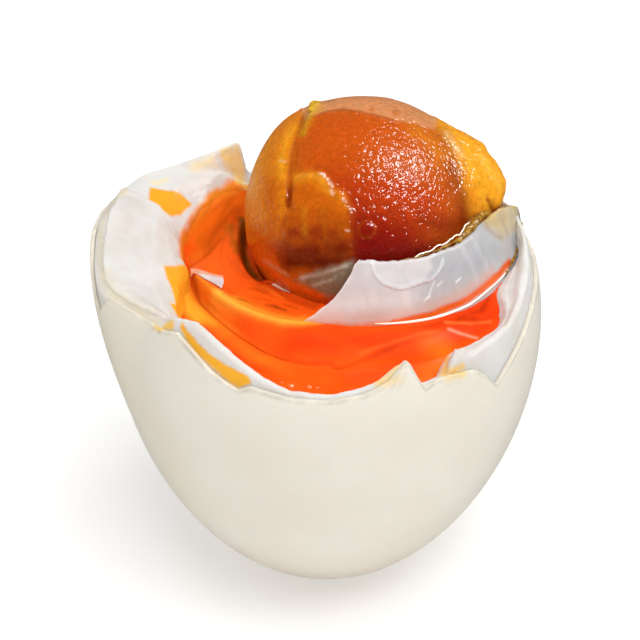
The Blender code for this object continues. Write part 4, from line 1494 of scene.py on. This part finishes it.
    def relief(self, away: Array) -> Array:
        """How far the surface stands out of the ball, or lies in it, in each direction."""
        relief = np.zeros(len(away))
        for middle, height, reach in self.swellings:
            angle = np.degrees(np.arccos(np.clip(away @ unit(middle), -1.0, 1.0)))
            relief += height * smooth_step(1.0 - angle / reach)
        relief *= smooth_step(away[:, 2] / self.swelling_rise)
        lumpy = ease(away @ unit(self.swellings[0][0]), *self.lumpy)
        grain = self.grain.at(away * self.radius) * (self.grain_height + self.grain_height_lump * lumpy)
        relief += grain - self.sink - self.sink_lump * lumpy
        places = np.array(self.centre) + away * (self.radius + relief)[:, None]
        return relief + self.front_relief(away, places) + self.bubble_relief(away)

    def front_relief(self, away: Array, places: Array) -> Array:
        """What stands proud in front or sinks in there."""
        relief = self.patch_rise.at(places) * ease(places @ FRONT_UP, *self.patch_low)
        for rise in self.rises:
            relief += rise.at(places)
        return relief * ease(away @ FRONT_AIM, *self.front)

    def bubble_relief(self, away: Array) -> Array:
        """The bubbles under the skin, each in a shallow ring."""
        relief = np.zeros(len(away))
        for aim, size, height in self.bubbles:
            reach = np.linalg.norm(away - unit(aim), axis=1) * self.radius / size
            relief += height * np.sqrt(np.clip(1.0 - reach**2, 0.0, 1.0))
            relief -= self.ring_depth * hump(reach - self.ring_reach, self.ring_width)
        return relief

    def build(self) -> None:
        """Model and dress the yolk."""
        piece = add_ball(self.subdivisions, self.radius)
        places = positions(piece)
        away = places / np.linalg.norm(places, axis=1)[:, None]
        settle(piece, np.array(self.centre) + away * (self.radius + self.relief(away))[:, None])
        name_piece(piece, "ball_of_yolk")
        smooth_shade(piece)
        paint(piece, "C65A0C", 1.0, self.colours, Plane.FRONT)
        hand_over(piece, self.finish.build(), Node.YOLK)


@dataclass
class Collar:
    """The torn collar of thin white that stands along the front right of the yolk."""

    finish: WetWhite
    columns: int = 300
    rings: int = 56
    foot_height: float = 35.5
    lean_start: float = 36.3
    lean_height: float = 5.5
    thickness: float = 0.45
    first: float = -114.0
    last: float = 7.0
    foot: Rows = ((-114.0, 15.6), (-45.0, 15.7), (0.0, 16.4), (10.0, 16.4))
    leaning: Rows = (
        (-114.0, 13.3), (-60.0, 13.35), (-45.0, 13.45), (-28.0, 13.75), (-10.0, 14.9), (0.0, 15.5), (10.0, 15.9),
    )
    top: Rows = (
        (-114.0, 35.6), (-111.3, 36.1), (-109.3, 36.6), (-108.2, 37.0), (-105.1, 37.7), (-102.5, 38.4),
        (-99.6, 39.5), (-96.6, 40.7), (-95.1, 41.7), (-93.4, 42.15), (-89.4, 42.2), (-84.2, 42.0),
        (-77.9, 41.9), (-68.3, 41.8), (-55.8, 41.8), (-46.7, 41.75), (-38.4, 41.95), (-31.0, 42.3),
        (-26.5, 42.1), (-22.7, 42.35), (-15.9, 42.3), (-8.0, 41.6), (-2.0, 40.4), (2.8, 39.1), (5.0, 38.0),
        (7.0, 36.6),
    )
    loop: ClassVar[Rows] = (
        (-87.7, 41.9), (-86.9, 41.1), (-83.6, 40.1), (-79.6, 39.6), (-75.5, 39.3), (-70.2, 39.5), (-63.5, 39.7),
        (-59.3, 40.2), (-55.6, 40.8),
    )
    fold: ClassVar[Rows] = ((-27.4, 42.2), (-26.4, 41.3), (-24.0, 40.2), (-21.0, 39.4))
    loop_rise: ClassVar[Rise] = Rise(loop, 0.14, 0.16, plane=Plane.SHEET)
    fold_rise: ClassVar[Rise] = Rise(fold, 0.35, -0.22, plane=Plane.SHEET)
    tear: Bumps = Bumps(0.7, 0.1, 61.0)
    tear_radius: float = 13.5
    waves: Bumps = Bumps(2.2, 0.16, 67.0, 2)
    colours: tuple[Patch | Stroke, ...] = (
        # Pinkish where oil shows through it low at the left, bluish grey to the right
        Stroke("EDE3DF", ((-110.0, 36.4), (-100.0, 38.0), (-88.0, 38.4), (-76.0, 38.2)), 1.2, 1.8, 0.9, 0.2),
        Stroke("E2DEDD", ((-96.0, 41.0), (-86.0, 41.2), (-76.0, 41.0)), 1.0, 1.6, 0.8, 0.2),
        Stroke("B9BABF", ((-58.0, 40.6), (-50.0, 39.8), (-42.0, 39.6), (-30.0, 39.2)), 0.9, 1.6, 0.9, 0.3),
        Patch("E0DDDE", ((-87.0, 41.9), (-83.6, 40.3), (-75.5, 39.5), (-66.5, 39.7), (-62.0, 40.8), (-62.0, 42.2),
                         (-88.0, 42.4)), 0.4, 0.8, 0.05),
        # Oil glowing through the foot
        Stroke("E9AE98", ((-112.0, 35.9), (-104.0, 36.6), (-92.0, 36.8), (-78.0, 36.9), (-64.0, 37.1), (-48.0, 37.3),
                          (-34.0, 37.6)), 0.3, 1.0, 0.8, 0.15),
        Stroke("F57A3E", ((-112.0, 35.5), (-100.0, 35.9), (-86.0, 36.1), (-76.0, 36.1)), 0.28, 0.45, 0.95, 0.1),
        Stroke("F2661A", ((-80.0, 36.1), (-74.0, 36.25), (-61.0, 36.4), (-48.5, 36.55), (-37.0, 36.8), (-30.0, 36.9),
                          (-22.0, 37.0)), 0.4, 0.22, 1.0, 0.1),
        # The raised loop with a painted highlight along it, small painted glints like stars, and soft upright folds
        Stroke("F3F3F5", loop, 0.06, 0.16, 0.9, 0.04),
        Stroke("F3F3F5", ((-63.5, 39.7), (-60.0, 40.1), (-56.0, 41.2)), 0.04, 0.16, 0.8, 0.05),
        Stroke("FFFFFF", ((-67.4, 37.8), (-65.2, 38.2), (-63.2, 39.0), (-62.0, 39.4)), 0.03, 0.13, 0.7, 0.06),
        Stroke("FFFFFF", ((-61.0, 38.9), (-58.4, 39.1)), 0.05, 0.12, 0.95, 0.05),
        Stroke("FFFFFF", ((-52.4, 38.6), (-49.8, 38.8)), 0.06, 0.12, 0.95, 0.05),
        Stroke("FFFFFF", ((-66.4, 38.0), (-64.8, 38.05)), 0.06, 0.12, 0.9, 0.05),
        Stroke("DCDEE3", ((-45.0, 41.4), (-43.0, 39.6), (-42.0, 37.8)), 0.12, 0.5, 0.6, 0.1),
        Stroke("DCDEE3", ((-38.0, 41.6), (-36.0, 39.6), (-35.0, 38.0)), 0.12, 0.5, 0.6, 0.1),
        # The right lobe: warmer, folded, with painted shade in its folds and a yellow stain
        Patch("DCCAA6", ((-27.4, 42.8), (-14.0, 43.0), (0.0, 41.8), (8.0, 39.0), (8.0, 37.0), (-2.0, 38.0),
                         (-12.0, 39.0), (-22.0, 39.8)), 0.7, 0.95, 0.2),
        Stroke("CDB07E", ((-26.0, 41.9), (-21.0, 41.6), (-16.0, 41.4)), 0.4, 0.8, 0.7, 0.3),
        Stroke("BFA890", ((-18.9, 42.2), (-17.6, 40.8), (-16.8, 39.5)), 0.12, 0.5, 0.7, 0.1),
        Stroke("C2B09C", fold, 0.08, 0.4, 0.8, 0.05),
        Stroke("E9D35C", ((-7.0, 41.3), (-3.0, 40.6)), 0.2, 0.5, 0.85, 0.2),
        Stroke("D9C24A", ((-26.0, 42.3), (-18.0, 42.5), (-10.0, 42.1)), 0.08, 0.3, 0.7, 0.1),
        # Painted highlights along the thin torn edges
        Stroke("F4F3F3", ((-95.1, 41.8), (-93.4, 42.2), (-89.4, 42.2), (-84.2, 42.0), (-77.9, 41.9), (-68.3, 41.8),
                          (-55.8, 41.8), (-46.7, 41.7), (-38.4, 41.9)), 0.08, 0.16, 0.8, 0.06),
        Stroke("F6EFEC", ((-113.0, 35.8), (-108.2, 37.0), (-105.1, 37.7), (-102.5, 38.4), (-99.6, 39.5),
                          (-96.6, 40.7), (-95.1, 41.8)), 0.08, 0.25, 0.8, 0.06),
    )

    def radius_at(self, azimuth: Array, height: Array) -> Array:
        """Radius of the leaning sheet round the yolk."""
        foot, leaning = between(self.foot, azimuth), between(self.leaning, azimuth)
        share = np.clip((height - self.lean_start) / self.lean_height, -0.2, 1.2)
        return foot + (leaning - foot) * share

    def top_at(self, azimuth: Array) -> Array:
        """Height of the torn top edge."""
        line = polar(azimuth, np.full_like(azimuth, self.tear_radius), 0.0, Yolk.centre)
        return between(self.top, azimuth) + self.tear.at(line)

    def place(self, azimuth: Array, height: Array, proud: float = 0.0) -> Array:
        """Points on the sheet, or that much outside it."""
        return polar(azimuth, self.radius_at(azimuth, height) + proud, height, Yolk.centre)

    def relief(self, places: Array) -> Array:
        """The raised loop, the fold and soft waves."""
        waves = self.waves.at(places * np.array([1.0, 1.0, 0.35]))
        return self.loop_rise.at(places) + self.fold_rise.at(places) + waves

    def build(self) -> None:
        """Model and dress the collar."""
        piece, along, up = add_grid(self.columns, self.rings)
        azimuth = self.first + (self.last - self.first) * along
        height = self.foot_height + (self.top_at(azimuth) - self.foot_height) * up
        places = self.place(azimuth, height)
        out = polar(azimuth, np.ones_like(azimuth), 0.0)
        settle(piece, places + out * self.relief(places)[:, None])
        name_piece(piece, "torn_collar_of_white")
        apply_modifier(piece, "SOLIDIFY", thickness=self.thickness * MM, offset=0.0)
        smooth_shade(piece)
        paint(piece, "C8C7C8", 1.0, self.colours, Plane.SHEET)
        hand_over(piece, self.finish.build(), Node.COLLAR)


@dataclass
class Trimmings:
    """The small things round the yolk: wet lines painted pale and glowing as highlights, the crumbly seam, scraps and
    bubbles.
    """

    collar: Collar
    oil: Oil
    meniscus: Rows = (
        (-87.0, 36.25, 0.03), (-83.0, 36.2, 0.09), (-76.8, 36.15, 0.13), (-67.9, 36.05, 0.15),
        (-61.3, 36.0, 0.15), (-54.2, 36.0, 0.13), (-48.5, 36.0, 0.12), (-43.6, 36.15, 0.1), (-36.9, 36.4, 0.09),
        (-29.8, 36.5, 0.09), (-25.3, 36.6, 0.08), (-18.3, 36.8, 0.07), (-11.3, 36.9, 0.05),
    )
    wet_line: Rows = (
        (-68.0, 41.7), (-65.0, 42.0), (-60.0, 41.9), (-56.0, 42.2), (-51.0, 42.1), (-46.0, 42.4), (-42.0, 42.3),
        (-38.0, 42.8), (-35.0, 42.9),
    )
    seam: Rows = (
        (-79.0, 41.6, 0.05), (-72.0, 41.7, 0.1), (-66.0, 41.7, 0.06), (-58.0, 41.8, 0.13), (-50.0, 41.85, 0.12),
        (-44.0, 41.9, 0.24), (-38.0, 42.2, 0.34), (-31.0, 42.6, 0.45), (-26.0, 42.6, 0.38), (-20.0, 42.6, 0.2),
    )
    olive: Rows = (
        (-27.0, 36.5, 0.08), (-20.0, 36.9, 0.12), (-14.0, 37.2, 0.16), (-8.0, 37.6, 0.16), (0.0, 38.0, 0.1),
    )
    crumbs: Rows = ((-0.40, 0.28, 0.87, 0.6), (-0.42, 0.18, 0.89, 0.45))
    pool_bubbles: Rows = ((-3.6, -17.9, 0.34), (-1.8, -18.1, 0.28), (-1.0, -18.2, 0.18), (-4.5, -17.3, 0.14))

    # How far outside the collar's sheet each line lies
    meniscus_proud: float = 0.3
    seam_proud: float = -0.35
    olive_proud: float = 0.35
    wet_radius: float = 0.075
    wet_waves: Bumps = Bumps(0.5, 0.12, 71.0, 2)
    seam_crumbs: Bumps = Bumps(1.1, 0.2, 73.0)
    olive_crumbs: Bumps = Bumps(0.9, 0.1, 79.0)
    crumb_proud: float = 0.4
    bubble_proud: float = 0.05
    flattened: Point = (1.0, 1.0, 0.7)
    # The scrap's corners: near and far where it starts, then near and far where it ends
    scrap_corners: Rows = ((-14.1, -0.2), (-14.2, 0.5), (-10.75, -3.25), (-10.7, -0.5))
    scrap_waves: tuple[Bumps, ...] = (Bumps(1.2, 0.1, 89.0), Bumps(1.2, 0.1, 97.0))
    scrap_proud: float = 0.12
    scrap_thickness: float = 0.14
    scrap_stain: Patch = Patch("FF9A6E", ((-15.0, -0.6), (-15.0, 1.4), (-12.6, 1.0), (-10.2, 0.0), (-10.2, -1.0),
                                          (-12.2, -0.7), (-13.4, -0.9)), 0.3, 0.85, 0.1)

    def line(self, name: str, rows: Rows, count: int, proud: float) -> Piece:
        """Lay a tube along the collar.

        Args:
            name: The piece's name.
            rows: Azimuth, height and radius.
            count: How many points it has.
            proud: How far outside the sheet it lies.

        Returns:
            The tube.
        """
        azimuth = np.linspace(rows[0][0], rows[-1][0], count)
        path = self.collar.place(azimuth, between(rows, azimuth), proud)
        return bend_tube(name, path, between(rows, azimuth, 2))

    def pebble(self, name: str, size: float, middle: Array) -> Piece:
        """A small flattened ball of a radius, about its middle in millimetres."""
        piece = add_ball(4, size)
        settle(piece, positions(piece) * np.array(self.flattened) + middle)
        return name_piece(piece, name)

    def painted_highlight_edges(self) -> None:
        """The rim of oil along the collar's foot and the wet line along its top, both painted pale and glowing as
        highlights.
        """
        bright = GlossWithPaintedGlow().build()
        rim = self.line("oil_rim_painted_highlight", self.meniscus, 160, self.meniscus_proud)
        azimuth = np.linspace(self.wet_line[0][0], self.wet_line[-1][0], 120)
        path = self.collar.place(azimuth, between(self.wet_line, azimuth), self.seam_proud)
        path[:, 2] += self.wet_waves.at(path)
        wet = bend_tube("seam_wet_line_painted_highlight", path, np.full(len(path), self.wet_radius))
        for piece in (rim, wet):
            smooth_shade(piece)
            hand_over(piece, bright)

    def crumbly_seam(self) -> None:
        """Mustard crumbs of yolk between the collar's top and the yolk, and olive ones at its right."""
        seam = self.line("crumbly_seam", self.seam, 260, self.seam_proud)
        roughen(seam, self.seam_crumbs)
        olive = self.line("olive_seam", self.olive, 90, self.olive_proud)
        roughen(olive, self.olive_crumbs)
        finish = CrumblyYolk().build()
        for piece in (seam, olive):
            smooth_shade(piece)
            hand_over(piece, finish)

    def yolk_crumbs(self) -> None:
        """Olive-yellow crumbs at the top of the crease."""
        finish = CrumblyYolk("crumbs_of_yolk", "E0B22E", "B98A1C").build()
        for number, (*aim, size) in enumerate(self.crumbs):
            middle = np.array(Yolk.centre) + unit(aim) * (Yolk.radius + self.crumb_proud)
            piece = self.pebble(f"yolk_crumb_{number + 1}", size, middle)
            roughen(piece, Bumps(0.8, 0.35 * size, 83.0 + number))
            smooth_shade(piece)
            hand_over(piece, finish)

    def scrap(self) -> None:
        """The thin torn scrap of white that floats on the oil at the left."""
        piece, along, across = add_grid(36, 24)
        near, far, near_end, far_end = np.array(self.scrap_corners)
        low = near + (near_end - near) * along[:, None]
        high = far + (far_end - far) * along[:, None]
        plan = low + (high - low) * across[:, None]
        plan += np.stack([waves.at(np.c_[plan, along]) for waves in self.scrap_waves], axis=1)
        settle(piece, np.c_[plan, self.oil.surface(plan) + self.scrap_proud * (1.0 + along)])
        name_piece(piece, "scrap_of_white")
        apply_modifier(piece, "SOLIDIFY", thickness=self.scrap_thickness * MM, offset=0.0)
        smooth_shade(piece)
        paint(piece, "F6ECEC", 1.0, (self.scrap_stain,))
        hand_over(piece, WetWhite("scrap_of_wet_white").build())

    def bubbles(self) -> None:
        """Small bubbles at the front of the pool, with a faint painted glow."""
        finish = GlossWithPaintedGlow("oil_bubble", "FF7A3A", 0.1).build()
        for number, (x, y, size) in enumerate(self.pool_bubbles):
            level = self.oil.surface(np.array(((x, y),)))[0] + self.bubble_proud
            piece = self.pebble(f"oil_bubble_{number + 1}", size, np.array((x, y, level)))
            smooth_shade(piece)
            hand_over(piece, finish)

    def build(self) -> None:
        """Model and dress them all."""
        self.painted_highlight_edges()
        self.crumbly_seam()
        self.yolk_crumbs()
        self.scrap()
        self.bubbles()


# The studio


@dataclass(frozen=True)
class Studio:
    """A pale floor, soft white light all round, a large soft light, a lamp for glints, and the camera."""

    target: Point = (-0.71, 0.0, 29.75)
    distance: float = 340.0
    elevation: float = 35.0
    lens: float = 182.3
    sensor: float = 36.0
    clip_start: float = 10.0
    key_aim: Point = (0.15, -0.27, 0.95)
    key_size: float = 500.0
    key_watts: float = 3.3
    glint_aim: Point = (0.563, -0.06, 0.824)
    glint_size: float = 260.0
    glint_watts: float = 9.0
    lamp_distance: float = 600.0
    sky: float = 0.5
    sky_in_gloss: float = 0.08
    floor_glow: float = 0.28
    floor_size: float = 4000.0

    def place_camera(self) -> None:
        """Set the camera at the photograph's angle."""
        slope = math.radians(self.elevation)
        back = Vector((0.0, -math.cos(slope), math.sin(slope)))
        camera = bpy.data.objects.new("camera", bpy.data.cameras.new("camera"))
        bpy.context.scene.collection.objects.link(camera)
        camera.location = (Vector(self.target) + back * self.distance) * MM
        camera.rotation_euler = (-back).to_track_quat("-Z", "Y").to_euler()
        camera.data.lens = self.lens
        camera.data.sensor_width = self.sensor
        camera.data.clip_start = self.clip_start * MM
        bpy.context.scene.camera = camera

    def hang(self, name: str, aim: Point, size: float, watts: float) -> Piece:
        """Hang a square soft light that looks at the yolk.

        Args:
            name: The light's name.
            aim: The direction from the yolk to the light.
            size: Its side in millimetres.
            watts: Its power.

        Returns:
            The light.
        """
        lamp = bpy.data.lights.new(name, "AREA")
        lamp.shape = "SQUARE"
        lamp.size = size * MM
        lamp.energy = watts
        light = bpy.data.objects.new(name, lamp)
        bpy.context.scene.collection.objects.link(light)
        away = Vector(aim).normalized()
        light.location = (Vector(Yolk.centre) + away * self.lamp_distance) * MM
        light.rotation_euler = away.to_track_quat("Z", "Y").to_euler()
        return light

    def place_light(self) -> None:
        """Hang the lights and set the sky, which is dimmer in reflections so that oil keeps its colour."""
        softbox = self.hang("softbox", self.key_aim, self.key_size, self.key_watts)
        softbox.visible_glossy = False
        glint = self.hang("glint_lamp", self.glint_aim, self.glint_size, self.glint_watts)
        glint.visible_diffuse = False
        glint.visible_transmission = False
        world = bpy.data.worlds.new("studio")
        bpy.context.scene.world = world
        world.use_nodes = True
        tree = world.node_tree
        path = add_node(tree, "ShaderNodeLightPath")
        strength = add_node(tree, "ShaderNodeMix",
                            {"data_type": "FLOAT", "#2": self.sky, "#3": self.sky_in_gloss},
                            n0=path.outputs["Is Glossy Ray"])
        tree.links.new(strength.outputs[0], tree.nodes["Background"].inputs["Strength"])
        tree.nodes["Background"].inputs["Color"].default_value = linear("FFFFFF")

    def lay_floor(self) -> None:
        """Lay the pale floor."""
        deselect()
        bpy.ops.mesh.primitive_plane_add(size=self.floor_size * MM)
        floor = bpy.context.object
        floor.name = "floor"
        material, _, shader = new_material("white_paper")
        set_sockets(shader, {"Base Color": linear("EAEAEA"), "Roughness": 0.9,
                             "Emission Color": linear("FFFFFF"), "Emission Strength": self.floor_glow,
                             "Specular IOR Level": 0.0})
        dress(floor, material)
        floor.visible_glossy = False

    def set_up(self) -> None:
        """Set up the floor, the lights and the camera."""
        self.place_camera()
        self.place_light()
        self.lay_floor()
        view = bpy.context.scene.view_settings
        view.view_transform = "Standard"


def main() -> None:
    """Set up the studio, then build the egg's pieces in order."""
    logging.basicConfig(level=logging.INFO)
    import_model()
    Studio().set_up()
    form = EggForm()
    Shell(form, Eggshell()).build()
    white = White(form, CookedWhite())
    white.build()
    oil = Oil(white, YolkOil())
    oil.build()
    Yolk(SaltedYolk()).build()
    collar = Collar(WetWhite())
    collar.build()
    Trimmings(collar, oil).build()


if __name__ == "__main__":
    main()
